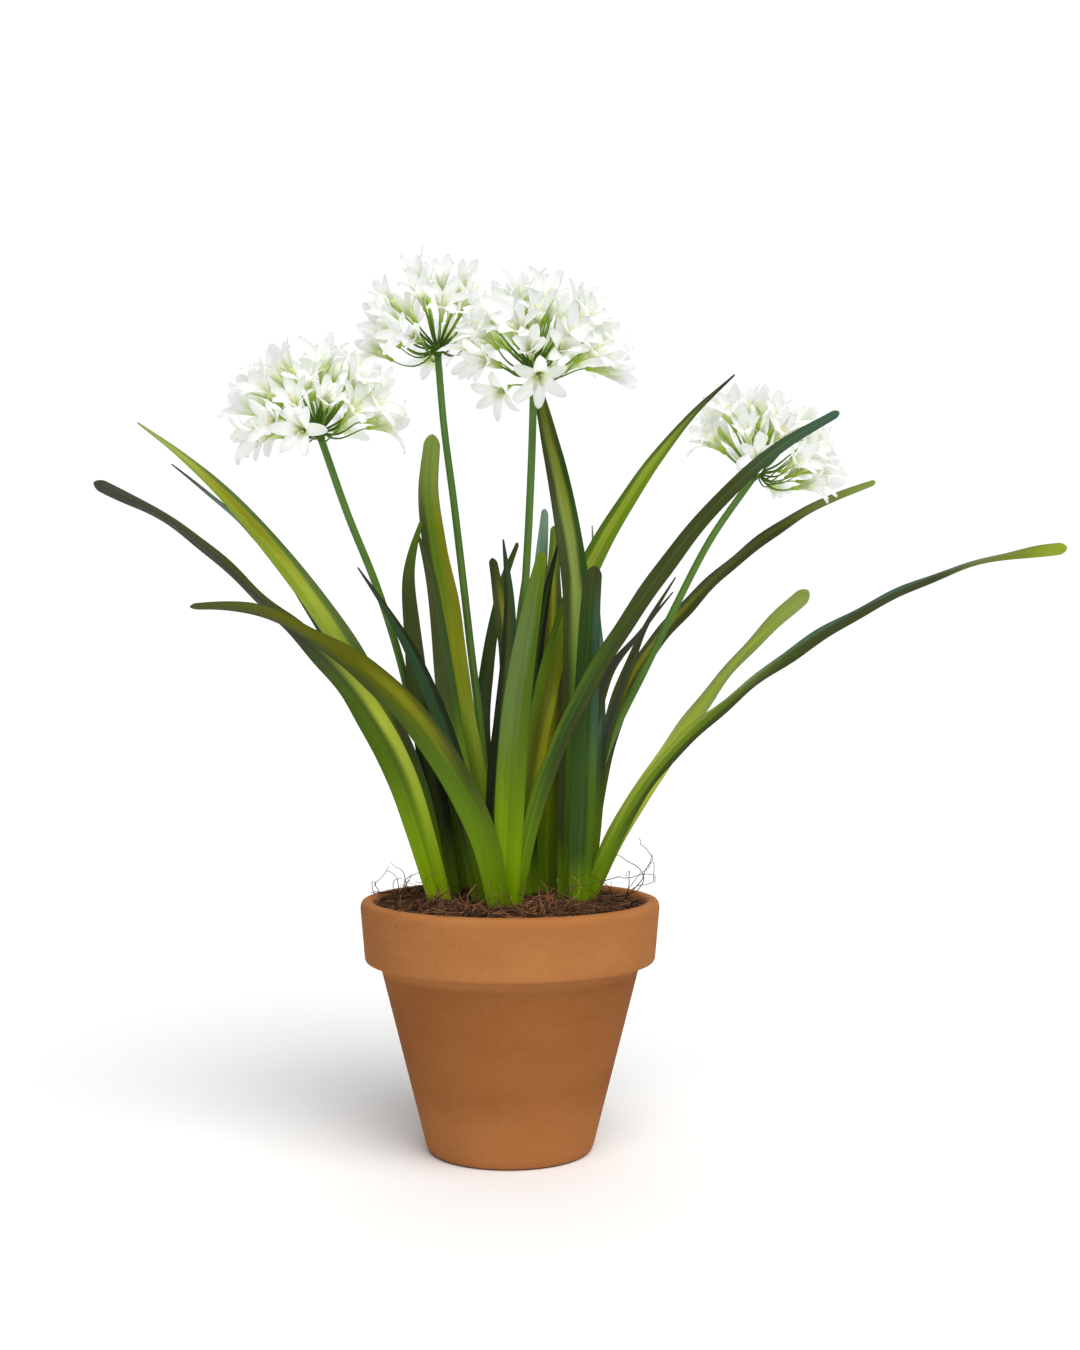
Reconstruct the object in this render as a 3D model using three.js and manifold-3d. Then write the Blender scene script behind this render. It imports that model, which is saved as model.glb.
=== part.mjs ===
// A white agapanthus in a terracotta pot. Strap leaves and flower stems stand in the soil,
// and each stem carries a dome of six-petalled florets on thin stalks.
// Millimetres, +Z up, and the origin is the middle of the pot's flat base.

import * as THREE from "three";
import { mergeVertices } from "three/addons/utils/BufferGeometryUtils.js";
import Module from "manifold-3d";

// ---------------------------------------------------------------- driving dimensions
const GAP = 0.3; // left between pieces that touch

const POT = {
  height: 226,
  rimRadius: 135, // outside, at the top of the band
  bandHeight: 55,
  bandStep: 13, // how far the band stands out from the wall under it
  footRadius: 76,
  wall: 12, // at the foot and at the rim
  floor: 14,
  round: 3, // radius of the rounded edges
  sides: 40,
};

const SOIL = {
  edgeHeight: 214, // at the wall
  crownHeight: 224, // under the plant
  crownRadius: 85,
  heap: { x: -70, y: 55, height: 9, spread: 42 }, // loose fibre banked up on one side
};

const LEAF = {
  thick: 2, // at the midrib
  edge: 0.8, // thickness at the two edges
  fold: 0.13, // how deep the channel is, as a share of the width
  rootHeight: 203, // where the buried ends stop
  firstStep: 32, // length of the straight stretch that leaves the soil
  step: 55, // between the sections after that, at most
  baseShare: 0.78, // width at the root as a share of the full width
  taperFrom: 0.35, // share of the length where the taper starts
  taperPower: 2.2,
  leastWidth: 1.6,
};

const STEM = { baseRadius: 3.9, topRadius: 3.3, step: 75, sides: 8 };

const HUB = { below: 6, above: 7, radius: 7.5, seatRadius: 5, sides: 8 };

const FLORET = {
  stalk: 40, // from the hub to the floret's base
  stalkRadius: 1.2,
  petals: 6,
  throatDepth: 17,
  notch: { radius: 7, along: 24 }, // between two petals
  tip: { radius: 21, along: 42 },
};

const GOLDEN_ANGLE = Math.PI * (3 - Math.sqrt(5));

// Each leaf: its route from the soil to the tip, its full width, the width of a blunt tip
// as a share of that (0 ends in a point), and how far its face is turned away from the
// front, in degrees, at even steps along its length.
const LEAVES = {
  leaf_left_long_dark: {
    route: [[-62, -14, 222], [-79, -24, 285], [-104, -36, 357], [-150, -52, 431],
      [-213, -70, 493], [-280, -88, 554], [-350, -104, 591]],
    width: 27, tip: 0.42, turn: [0, 0, 10, 45, 70, 70, 35],
  },
  leaf_left_long_light: {
    route: [[-62, -4, 220], [-78, -6, 297], [-107, -2, 378], [-147, 4, 451],
      [-215, 14, 542], [-281, 24, 612], [-346, 34, 662]],
    width: 24, tip: 0, turn: [0, -15, -12, 0, 0, 20],
  },
  leaf_left_thin_back: {
    route: [[-60, 26, 216], [-84, 33, 303], [-123, 50, 405], [-183, 70, 491], [-254, 90, 570],
      [-331, 110, 633]],
    width: 17, tip: 0, turn: [0, 20, 30, 50, 45],
  },
  leaf_left_blue: {
    route: [[-64, 5, 219], [-79, 8, 305], [-111, 15, 387], [-160, 26, 451], [-211, 38, 523]],
    width: 20, tip: 0, turn: [0, 10, 20, 30],
  },
  leaf_left_drooping: {
    route: [[-8, -50, 222], [-22, -62, 286], [-53, -80, 352], [-95, -104, 409],
      [-144, -132, 450], [-199, -160, 480], [-228, -175, 484], [-252, -186, 482]],
    width: 26, tip: 0.36, turn: [0, 0, 5, 30, 60, 52],
  },
  leaf_left_upright: {
    route: [[-54, 19, 222], [-65, 22, 295], [-81, 18, 387], [-90, 8, 478], [-91, 0, 532],
      [-80, -6, 567]],
    width: 22, tip: 0.15, turn: [10, 20, 20, 20],
  },
  leaf_left_low: {
    route: [[-38, 36, 224], [-51, 48, 274], [-65, 68, 329], [-81, 98, 404], [-93, 132, 462]],
    width: 18, tip: 0, turn: [0, 10, 10],
  },
  leaf_left_pointed: {
    route: [[-20, -28, 228], [-35, -30, 299], [-56, -32, 375], [-81, -38, 437],
      [-106, -48, 483], [-132, -60, 522]],
    width: 17, tip: 0, turn: [20, 15, 20, 40],
  },
  leaf_left_mid: {
    route: [[-25, -20, 225], [-38, -14, 298], [-54, -4, 387], [-64, 8, 460], [-74, 18, 520],
      [-85, 26, 557]],
    width: 21, tip: 0.1, turn: [0, 10, 20],
  },
  leaf_left_tall: {
    route: [[-16, -8, 225], [-29, 2, 306], [-48, 16, 405], [-60, 28, 497], [-76, 36, 581],
      [-73, 40, 652]],
    width: 27, tip: 0.55, turn: [0, 5, 10, 15],
  },
  leaf_centre_front: {
    route: [[-3, -44, 221], [0, -60, 302], [5, -90, 381], [14, -122, 449], [23, -152, 497],
      [29, -174, 527]],
    width: 26, tip: 0.3, turn: [-8, -5, 0, 10],
  },
  leaf_centre_dark: {
    route: [[-5, -18, 225], [-12, -20, 307], [-5, -22, 387], [0, -23, 460], [-1, -21, 506],
      [-6, -16, 550]],
    width: 20, tip: 0, turn: [0, 0, -10],
  },
  leaf_centre_olive: {
    route: [[-2, -1, 225], [-8, 10, 305], [-2, 28, 405], [-8, 44, 470], [-13, 58, 508],
      [-18, 70, 539]],
    width: 15, tip: 0.55, turn: [0, 15, 20],
  },
  leaf_centre_back: {
    route: [[-13, 30, 227], [-22, 38, 312], [-27, 56, 386], [-21, 84, 452], [-8, 118, 521],
      [5, 142, 559]],
    width: 15, tip: 0.3, turn: [0, 10, 30],
  },
  leaf_centre_bright: {
    route: [[12, 25, 226], [8, 32, 313], [8, 38, 405], [10, 42, 479], [15, 46, 539]],
    width: 18, tip: 0.15, turn: [0, 10, 0],
  },
  leaf_centre_leaning: {
    route: [[18, 37, 227], [16, 44, 312], [20, 51, 414], [30, 55, 489], [44, 56, 551]],
    width: 17, tip: 0.1, turn: [0, 20, 20],
  },
  leaf_centre_wide: {
    route: [[33, 50, 225], [34, 60, 310], [38, 76, 404], [40, 98, 500], [41, 122, 574]],
    width: 24, tip: 0.3, turn: [0, 10, 20],
  },
  leaf_centre_grey: {
    route: [[25, 65, 227], [21, 80, 309], [21, 104, 404], [26, 140, 502], [32, 178, 596]],
    width: 24, tip: 0.3, turn: [-10, 10, 30],
  },
  leaf_right_long_light: {
    route: [[0, -30, 224], [13, -28, 299], [31, -10, 406], [58, 18, 497], [91, 28, 562],
      [132, 30, 625], [173, 26, 674], [206, 20, 704]],
    width: 23, tip: 0, turn: [0, 15, 25, 10, 15, 20],
  },
  leaf_right_long_dark: {
    route: [[4, -37, 222], [25, -48, 318], [61, -66, 405], [112, -86, 489], [165, -104, 560],
      [221, -120, 614], [275, -132, 646]],
    width: 17, tip: 0.42, turn: [15, 25, 28, 18, 15, 20],
  },
  leaf_right_tall: {
    route: [[52, 8, 227], [54, 2, 315], [59, -10, 406], [60, -16, 495], [49, -8, 577],
      [36, 10, 642], [21, 30, 708]],
    width: 25, tip: 0.3, taper: 0.5, turn: [20, 15, 0, 0, 20],
  },
  leaf_right_upright: {
    route: [[62, -9, 227], [65, -20, 316], [68, -42, 406], [70, -70, 476], [73, -96, 521]],
    width: 23, tip: 0.6, turn: [10, 0, 10],
  },
  leaf_right_thin: {
    route: [[71, 28, 227], [79, 32, 312], [82, 39, 405], [81, 60, 480], [77, 94, 572]],
    width: 14, tip: 0, turn: [0, 20, 50],
  },
  leaf_right_narrow: {
    route: [[68, 37, 227], [83, 46, 349], [107, 56, 428], [133, 70, 485], [157, 86, 522]],
    width: 14, tip: 0, turn: [0, 30, 40],
  },
  leaf_right_pointed: {
    route: [[62, 19, 228], [70, 20, 341], [86, 14, 422], [118, 2, 467], [147, -12, 503]],
    width: 15, tip: 0, turn: [0, 30, 50],
  },
  leaf_right_back: {
    route: [[70, 58, 226], [82, 74, 328], [114, 98, 423], [178, 130, 502], [249, 168, 563],
      [313, 196, 603], [373, 212, 627]],
    width: 20, tip: 0.3, turn: [0, 15, 30, 45, 40, 30],
  },
  leaf_right_short_light: {
    route: [[71, 11, 225], [98, 16, 284], [138, 26, 345], [184, 42, 409], [233, 58, 464],
      [282, 72, 508]],
    width: 20, tip: 0.75, turn: [20, 15, 20, 45, 48, 10],
  },
  leaf_right_long_low: {
    route: [[69, 0, 224], [95, -6, 281], [131, -16, 342], [196, -32, 405], [272, -48, 462],
      [358, -60, 508], [426, -66, 530], [483, -70, 538]],
    width: 17, tip: 0.6, turn: [15, 25, 35, 50, 45, 50, 75, 10],
  },
};

// Each flower stem: its route from the soil to the middle of the hub, the way its dome
// faces, the angle from there down to its lowest florets in degrees, how many florets it has
// and where their spiral starts. A floret that hangs below the dome is given by the way its
// stalk runs.
const FLOWERS = {
  a: {
    route: [[-55, 44, 226], [-82, 42, 349], [-106, 30, 456], [-131, 12, 533], [-151, -6, 584],
      [-165, -17, 624], [-170, -20, 645]],
    facing: [-0.1, -0.05, 1], lowest: 93, florets: 28, start: 0.4, hanging: [],
  },
  b: {
    route: [[-18, 14, 227], [-25, 24, 350], [-38, 38, 460], [-53, 58, 583], [-67, 76, 689],
      [-71, 85, 739]],
    facing: [-0.12, 0.12, 1], lowest: 95, florets: 26, start: 1.7, hanging: [],
  },
  c: {
    route: [[8, 12, 227], [9, 8, 405], [14, -2, 513], [19, -27, 600], [21, -54, 668],
      [22, -65, 692]],
    facing: [0.05, -0.2, 1], lowest: 92, florets: 29, start: 2.9,
    hanging: [[-0.43, -0.8, -0.42]],
  },
  d: {
    route: [[57, 46, 227], [80, 54, 334], [117, 62, 414], [156, 72, 494], [189, 80, 556],
      [212, 86, 594], [235, 90, 621]],
    facing: [0.42, 0.08, 1], lowest: 92, florets: 28, start: 4.1, hanging: [],
  },
};

// ---------------------------------------------------------------- finishes
const FINISH = {
  terracotta: new THREE.MeshStandardMaterial({ color: 0xb8713f, roughness: 0.8, metalness: 0 }),
  soil: new THREE.MeshStandardMaterial({ color: 0x3b2a20, roughness: 1, metalness: 0 }),
  leaf: new THREE.MeshStandardMaterial({ color: 0x4f6d26, roughness: 0.5, metalness: 0 }),
  stem: new THREE.MeshStandardMaterial({ color: 0x4a8038, roughness: 0.5, metalness: 0 }),
  petal: new THREE.MeshStandardMaterial({ color: 0xf4f5ee, roughness: 0.7, metalness: 0 }),
};
for (const finish of Object.values(FINISH)) finish.flatShading = true;

// ---------------------------------------------------------------- solids
const wasm = await Module();
wasm.setup();

const vector = (point) => new THREE.Vector3(...point);
const lerp = THREE.MathUtils.lerp;

function solidOf(geometry) {
  const bare = geometry.clone();
  bare.deleteAttribute("normal");
  bare.deleteAttribute("uv");
  const merged = mergeVertices(bare, 1e-3);
  return new wasm.Manifold(
    new wasm.Mesh({
      numProp: 3,
      vertProperties: new Float32Array(merged.attributes.position.array),
      triVerts: new Uint32Array(merged.index.array),
    }),
  );
}

function geometryOf(solid) {
  const { vertProperties, triVerts } = solid.getMesh();
  const geometry = new THREE.BufferGeometry();
  geometry.setAttribute("position", new THREE.BufferAttribute(vertProperties, 3));
  geometry.setIndex(new THREE.BufferAttribute(triVerts, 1));
  geometry.computeVertexNormals();
  return geometry;
}

// A closed skin over rings of points, each ring with the same count. The rings run
// counter-clockwise seen from the last ring, and the caps zip one half of a ring to the other.
// The diagonals of the second half mirror those of the first, so that the front and back of a
// thin twisted blade stay the same distance apart.
function loft(rings) {
  const count = rings[0].length;
  const last = (rings.length - 1) * count;
  const index = [];
  for (let r = 0; r < last; r += count) {
    for (let i = 0; i < count; i++) {
      const j = (i + 1) % count;
      const [a, b, c, d] = [r + i, r + j, r + count + j, r + count + i];
      index.push(...(i < count / 2 ? [a, b, c, a, c, d] : [a, b, d, b, c, d]));
    }
  }
  const cap = (a, b, c) => index.push(a, c, b, last + a, last + b, last + c);
  for (let low = 0, high = count - 1; high - low > 1; low++, high--) {
    cap(low, low + 1, high);
    if (high - low > 2) cap(low + 1, high - 1, high);
  }
  const geometry = new THREE.BufferGeometry();
  geometry.setFromPoints(rings.flat());
  geometry.setIndex(index);
  geometry.computeVertexNormals();
  return geometry;
}

function circle(centre, tangent, radius, sides) {
  const turn = new THREE.Quaternion().setFromUnitVectors(new THREE.Vector3(0, 0, 1), tangent);
  return Array.from({ length: sides }, (_, i) => {
    const angle = (i / sides) * 2 * Math.PI;
    const spoke = new THREE.Vector3(Math.cos(angle), Math.sin(angle), 0);
    return spoke.multiplyScalar(radius).applyQuaternion(turn).add(centre);
  });
}

// Turns a profile of [radius, height] points round +Z.
function lathe(profile, sides) {
  const points = profile.map(([radius, height]) => new THREE.Vector2(radius, height));
  return new THREE.LatheGeometry(points, sides).rotateX(Math.PI / 2);
}

// ---------------------------------------------------------------- leaves and stems
// A smooth line from the buried end through the route's points.
function growthLine(route) {
  const points = route.map(vector);
  const [soilPoint, next] = points;
  const rise = next.clone().sub(soilPoint);
  const sunk = (soilPoint.z - LEAF.rootHeight) / rise.z;
  points.unshift(soilPoint.clone().addScaledVector(rise, -sunk));
  return new THREE.CatmullRomCurve3(points, false, "centripetal");
}

// The stations along a growth line, from 0 to 1: a straight first stretch, then even steps,
// with the last one divided where a tip has to be rounded.
function stations(length, step, roundTip) {
  const first = LEAF.firstStep / length;
  const steps = Math.ceil((length - LEAF.firstStep) / step);
  const even = Array.from({ length: steps }, (_, i) => lerp(first, 1, (i + 1) / steps));
  const list = [0, first, ...even];
  if (roundTip) list.splice(-1, 0, 1 - 0.25 * roundTip, 1 - 0.06 * roundTip);
  return list;
}

// A value from a list that is spread evenly over 0 to 1.
function along(list, share) {
  const place = share * (list.length - 1);
  const i = Math.min(Math.floor(place), list.length - 2);
  return lerp(list[i], list[i + 1], THREE.MathUtils.smoothstep(place - i, 0, 1));
}

function leafWidth({ width, tip, taper: from = LEAF.taperFrom }, length, share) {
  const base = lerp(LEAF.baseShare, 1, THREE.MathUtils.smoothstep(share, 0, 0.3));
  const late = Math.max(0, (share - from) / (1 - from));
  const taper = lerp(1, tip, late ** LEAF.taperPower);
  const roundTip = (0.7 * tip * width) / length;
  const past = roundTip ? Math.max(0, (share - 1 + roundTip) / roundTip) : 0;
  return Math.max(width * base * taper * Math.sqrt(1 - 0.96 * past * past), LEAF.leastWidth);
}

// The six-cornered sections of a leaf, round from the front of the left edge: the two
// edges are blunt, and the midrib lies at the bottom of a shallow channel.
function leafSections(leaf, grow = 0) {
  const line = growthLine(leaf.route);
  const length = line.getLength();
  const roundTip = (0.7 * leaf.tip * leaf.width) / length;
  return stations(length, LEAF.step, roundTip).map((share) => {
    const centre = line.getPointAt(share);
    const tangent = line.getTangentAt(share);
    const turn = THREE.MathUtils.degToRad(along(leaf.turn, share));
    const wide = new THREE.Vector3(0, 1, 0).cross(tangent).normalize();
    wide.applyAxisAngle(tangent, turn);
    const back = tangent.clone().cross(wide);
    const width = leafWidth(leaf, length, share);
    const slim = Math.min(1, width / 8);
    const half = width / 2 + grow;
    const edge = (LEAF.edge * slim) / 2 + grow;
    const middle = (LEAF.thick * slim) / 2 + grow;
    const fold = (2 * LEAF.fold * half * width) / (width + 2 * grow);
    const rise = (fold * grow) / half;
    const corners = [[-half, -edge - rise], [0, fold - middle], [half, -edge - rise],
      [half, edge - rise], [0, fold + middle], [-half, edge - rise]];
    return corners.map(([across, depth]) =>
      centre.clone().addScaledVector(wide, across).addScaledVector(back, depth));
  });
}

function stemSections(route, grow = 0) {
  const line = growthLine(route);
  const length = line.getLength();
  const end = 1 - (HUB.below + GAP) / length;
  return stations(length, STEM.step, 0).map((share) => {
    const at = share * end;
    const radius = lerp(STEM.baseRadius, STEM.topRadius, share) + grow;
    return circle(line.getPointAt(at), line.getTangentAt(at), radius, STEM.sides);
  });
}

// ---------------------------------------------------------------- flower heads
// A repeatable number from 0 to 1 for floret k.
function scatter(k, salt) {
  const wave = Math.sin(k * 12.9898 + salt * 78.233) * 43758.5453;
  return wave - Math.floor(wave);
}

// Where each floret's base sits round a hub, and the way it points. The florets follow a
// golden-angle spiral over the dome, and those that hang below it come after them.
function floretPlaces({ facing, lowest, florets, start, hanging }, hub) {
  const fall = 1 - Math.cos(THREE.MathUtils.degToRad(lowest));
  const tilt = new THREE.Quaternion().setFromUnitVectors(
    new THREE.Vector3(0, 0, 1),
    vector(facing).normalize(),
  );
  const dome = Array.from({ length: florets }, (_, k) => {
    const polar = Math.acos(1 - (fall * (k + 0.6)) / florets);
    const round = k * GOLDEN_ANGLE + start + 0.35 * (scatter(k, start) - 0.5);
    return new THREE.Vector3(
      Math.sin(polar) * Math.cos(round),
      Math.sin(polar) * Math.sin(round),
      Math.cos(polar),
    ).applyQuaternion(tilt);
  });
  return [...dome, ...hanging.map((way) => vector(way).normalize())].map((spoke, k) => {
    const stalk = FLORET.stalk * lerp(0.94, 1.08, scatter(k, start + 1));
    return {
      base: spoke.clone().multiplyScalar(stalk).add(hub),
      points: spoke,
      spin: 2 * Math.PI * scatter(k, start + 2),
    };
  });
}

// A six-pointed funnel: the rim runs from notch to petal tip and back, and both the outside
// and the throat close on it.
function floretGeometry() {
  const rim = [];
  for (let p = 0; p < FLORET.petals; p++) {
    const middle = (p / FLORET.petals) * 2 * Math.PI;
    const corner = (angle, radius, height) =>
      new THREE.Vector3(radius * Math.cos(angle), radius * Math.sin(angle), height);
    const { notch, tip } = FLORET;
    rim.push(corner(middle, tip.radius, tip.along));
    rim.push(corner(middle + Math.PI / FLORET.petals, notch.radius, notch.along));
  }
  const base = rim.length;
  const throat = rim.length + 1;
  const index = [];
  for (let i = 0; i < rim.length; i++) {
    const next = (i + 1) % rim.length;
    index.push(base, next, i, throat, i, next);
  }
  const geometry = new THREE.BufferGeometry();
  geometry.setFromPoints([
    ...rim,
    new THREE.Vector3(0, 0, 0),
    new THREE.Vector3(0, 0, FLORET.throatDepth),
  ]);
  geometry.setIndex(index);
  geometry.computeVertexNormals();
  return geometry;
}

function hubGeometry(hub, tangent) {
  const profile = [
    [0, -HUB.below],
    [HUB.seatRadius, -HUB.below],
    [HUB.radius, 0],
    [HUB.seatRadius, HUB.above - 2],
    [0, HUB.above],
  ];
  const turn = new THREE.Quaternion().setFromUnitVectors(new THREE.Vector3(0, 0, 1), tangent);
  return lathe(profile, HUB.sides).applyQuaternion(turn).translate(...hub);
}

function flowerHead(flower) {
  const hub = vector(flower.route.at(-1));
  const floret = floretGeometry();
  const pieces = [solidOf(hubGeometry(hub, growthLine(flower.route).getTangentAt(1)))];
  for (const { base, points, spin } of floretPlaces(flower, hub)) {
    const turn = new THREE.Quaternion()
      .setFromUnitVectors(new THREE.Vector3(0, 0, 1), points)
      .multiply(new THREE.Quaternion().setFromAxisAngle(new THREE.Vector3(0, 0, 1), spin));
    pieces.push(solidOf(floret.clone().applyQuaternion(turn).translate(...base)));
    const way = base.clone().sub(hub).normalize();
    const end = base.clone().addScaledVector(points, 4);
    const stalk = [hub, end].map((point) =>
      circle(point.clone(), way, FLORET.stalkRadius, 3),
    );
    pieces.push(solidOf(loft(stalk)));
  }
  return geometryOf(wasm.Manifold.union(pieces));
}

// ---------------------------------------------------------------- pot and soil
function potGeometry() {
  const { height, rimRadius, bandHeight, bandStep, footRadius, wall, floor, round } = POT;
  const bandFoot = height - bandHeight;
  const bandRadius = rimRadius - 4; // the band narrows towards its lower edge
  const wallTop = bandRadius - bandStep;
  const inside = rimRadius - wall;
  return lathe(
    [
      [0, 0],
      [footRadius - 2 * round, 0],
      [footRadius - 0.7 * round, 0.5 * round],
      [footRadius, 2 * round],
      [wallTop, bandFoot],
      [bandRadius - round, bandFoot],
      [bandRadius - 0.3 * round, bandFoot + 0.3 * round],
      [bandRadius, bandFoot + round],
      [rimRadius, height - 2 * round],
      [rimRadius - 0.4 * round, height - 0.5 * round],
      [rimRadius - 1.6 * round, height],
      [inside + 0.8 * round, height],
      [inside, height - round],
      [footRadius - wall, floor + round],
      [footRadius - wall - round, floor],
      [0, floor],
    ],
    POT.sides,
  );
}

// The pot's inner radius at a height, from its floor to its rim: the inside is a plain cone.
function insideRadius(height) {
  const low = POT.floor + POT.round;
  const share = (height - low) / (POT.height - POT.round - low);
  return lerp(POT.footRadius - POT.wall, POT.rimRadius - POT.wall, share);
}

function soilHeight(x, y) {
  const { edgeHeight, crownHeight, crownRadius, heap } = SOIL;
  const out = Math.min(1, Math.hypot(x, y) / insideRadius(edgeHeight));
  const start = crownRadius / insideRadius(edgeHeight);
  const crown = lerp(crownHeight, edgeHeight, THREE.MathUtils.smoothstep(out, start, 1));
  const away = Math.hypot(x - heap.x, y - heap.y) / heap.spread;
  const edge = THREE.MathUtils.smoothstep(1 - out, 0, 0.1);
  return crown + heap.height * Math.exp(-away * away) * edge;
}

function soilGeometry(cutters) {
  const low = POT.floor + POT.round + GAP;
  const edge = insideRadius(SOIL.edgeHeight) - GAP;
  const plug = lathe(
    [
      [0, low],
      [insideRadius(low) - GAP, low],
      [edge, SOIL.edgeHeight],
      [0.93 * edge, SOIL.crownHeight],
      [0.8 * edge, SOIL.crownHeight],
      [0.62 * edge, SOIL.crownHeight],
      [0.36 * edge, SOIL.crownHeight],
      [0, SOIL.crownHeight],
    ],
    POT.sides / 2,
  );
  const place = plug.attributes.position;
  for (let i = 0; i < place.count; i++) {
    const [x, y, z] = [place.getX(i), place.getY(i), place.getZ(i)];
    if (z > SOIL.edgeHeight + 1) place.setZ(i, soilHeight(x, y));
  }
  return geometryOf(solidOf(plug).subtract(wasm.Manifold.union(cutters)));
}

// The slot that a leaf or stem stands in: its own buried stretch, a little larger.
function slot(sections) {
  const [root, top] = sections;
  const lower = root.map((point) => point.clone().lerp(top[root.indexOf(point)], -0.02));
  return solidOf(loft([lower, top]));
}

// ---------------------------------------------------------------- the plant
const plant = new THREE.Group();

function add(name, geometry, finish) {
  const mesh = new THREE.Mesh(geometry, finish);
  mesh.name = name;
  plant.add(mesh);
}

const slots = [
  ...Object.values(LEAVES).map((leaf) => slot(leafSections(leaf, GAP))),
  ...Object.values(FLOWERS).map(({ route }) => slot(stemSections(route, GAP))),
];

add("pot", potGeometry(), FINISH.terracotta);
add("soil", soilGeometry(slots), FINISH.soil);
for (const [name, leaf] of Object.entries(LEAVES)) {
  add(name, loft(leafSections(leaf)), FINISH.leaf);
}
for (const [name, flower] of Object.entries(FLOWERS)) {
  add(`stem_${name}`, loft(stemSections(flower.route)), FINISH.stem);
  add(`flower_head_${name}`, flowerHead(flower), FINISH.petal);
}

export default plant;
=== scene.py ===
# %% [markdown]
# # A white agapanthus in a terracotta pot
# A lesson in building a plant from a few simple rules. Leaves and stems follow the lines
# that the frame already holds, flowers are one petal set out many times, and the soil is a
# rough surface with fibre strewn over it. Every length is in metres, +Z is up, and the
# middle of the pot's base is the origin.

# %% Load the frame
import math
import random

import bmesh
import bpy
import numpy as np
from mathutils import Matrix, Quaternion, Vector, noise


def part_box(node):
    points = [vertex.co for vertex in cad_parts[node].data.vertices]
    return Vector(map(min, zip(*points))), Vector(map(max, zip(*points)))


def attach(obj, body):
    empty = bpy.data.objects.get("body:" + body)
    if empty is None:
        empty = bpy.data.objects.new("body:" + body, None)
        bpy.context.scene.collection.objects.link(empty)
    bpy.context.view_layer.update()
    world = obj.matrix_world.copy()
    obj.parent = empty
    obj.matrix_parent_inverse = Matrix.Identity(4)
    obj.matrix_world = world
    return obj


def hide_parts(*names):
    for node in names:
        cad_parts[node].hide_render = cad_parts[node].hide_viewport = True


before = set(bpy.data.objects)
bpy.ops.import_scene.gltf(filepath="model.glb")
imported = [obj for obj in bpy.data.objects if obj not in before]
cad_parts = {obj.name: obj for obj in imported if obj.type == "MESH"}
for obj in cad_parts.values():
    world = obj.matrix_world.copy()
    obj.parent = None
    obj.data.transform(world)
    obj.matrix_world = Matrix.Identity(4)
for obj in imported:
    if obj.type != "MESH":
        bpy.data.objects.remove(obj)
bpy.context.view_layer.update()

MM = 0.001
UP = Vector((0, 0, 1))

# %% [markdown]
# ## Camera
# The plant is seen from the front, level and at the height of its leaves. The camera could
# be aimed at an empty, but a level camera needs only a quarter turn to look along +Y, and
# it keeps the pot and stems upright. The focal length follows from a field of view that is
# known in image pixels.

# %% Camera
IMAGE_SIZE = (1080, 1350)
FOCAL_PIXELS = 1700
SENSOR = 36.0
CAMERA_PLACE = (0.027, -1.540, 0.428)

camera = bpy.data.objects.new("camera", bpy.data.cameras.new("camera"))
camera.data.sensor_width = SENSOR
camera.data.lens = FOCAL_PIXELS * SENSOR / max(IMAGE_SIZE)
camera.location = CAMERA_PLACE
camera.rotation_euler = (math.radians(90), 0, 0)
bpy.context.scene.collection.objects.link(camera)
bpy.context.scene.camera = camera
print("camera lens", round(camera.data.lens, 2), "mm")

# %% [markdown]
# ## Small helpers for node trees
# Materials and growth rules are both trees of nodes. They could be wired one call at a time,
# but the same few lines would come back hundreds of times. So one helper adds a node and
# fills its inputs with numbers or links, and a few more name the steps that return often.

# %% Node helpers
MIX_FACTOR, MIX_A, MIX_B, MIX_RESULT = 0, 6, 7, 2
WHITE = (1, 1, 1, 1)


def add_node(tree, kind, inputs=None, **settings):
    node = tree.nodes.new(kind)
    for name, value in settings.items():
        setattr(node, name, value)
    for key, value in (inputs or {}).items():
        if isinstance(value, bpy.types.NodeSocket):
            tree.links.new(value, node.inputs[key])
        else:
            node.inputs[key].default_value = value
    return node


def maths(tree, operation, a, b=0.0):
    return add_node(tree, "ShaderNodeMath", {0: a, 1: b}, operation=operation).outputs[0]


def times(tree, product, *others):
    for other in others:
        product = maths(tree, "MULTIPLY", product, other)
    return product


def rise(tree, value, low, high):
    """0 below low, 1 above high and a smooth step between them."""
    inputs = {0: value, 1: low, 2: high}
    return add_node(tree, "ShaderNodeMapRange", inputs, interpolation_type="SMOOTHSTEP").outputs[0]


def fall(tree, value, low, high):
    """1 below low, 0 above high and a smooth step between them."""
    return maths(tree, "SUBTRACT", 1.0, rise(tree, value, low, high))


def near(tree, value, middle, inner, outer):
    """1 where a value is within inner of a middle, 0 beyond outer."""
    away = maths(tree, "ABSOLUTE", maths(tree, "SUBTRACT", value, middle))
    return fall(tree, away, inner, outer)


def mix_colours(tree, factor, a, b, blend="MIX"):
    inputs = {MIX_FACTOR: factor, MIX_A: a, MIX_B: b}
    node = add_node(tree, "ShaderNodeMix", inputs, data_type="RGBA", blend_type=blend)
    return node.outputs[MIX_RESULT]


def vector_of(tree, x, y, z):
    return add_node(tree, "ShaderNodeCombineXYZ", {0: x, 1: y, 2: z}).outputs[0]


def parts_of(tree, vector):
    return add_node(tree, "ShaderNodeSeparateXYZ", {0: vector}).outputs


def shaded(tree, tone, shade):
    """A tone made lighter or darker by a number."""
    return mix_colours(tree, 1.0, tone, vector_of(tree, shade, shade, shade), "MULTIPLY")


def noise_value(tree, vector, scale, detail=3.0, roughness=0.55):
    inputs = {"Vector": vector, "Scale": scale, "Detail": detail, "Roughness": roughness}
    return add_node(tree, "ShaderNodeTexNoise", inputs).outputs[0]


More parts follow.
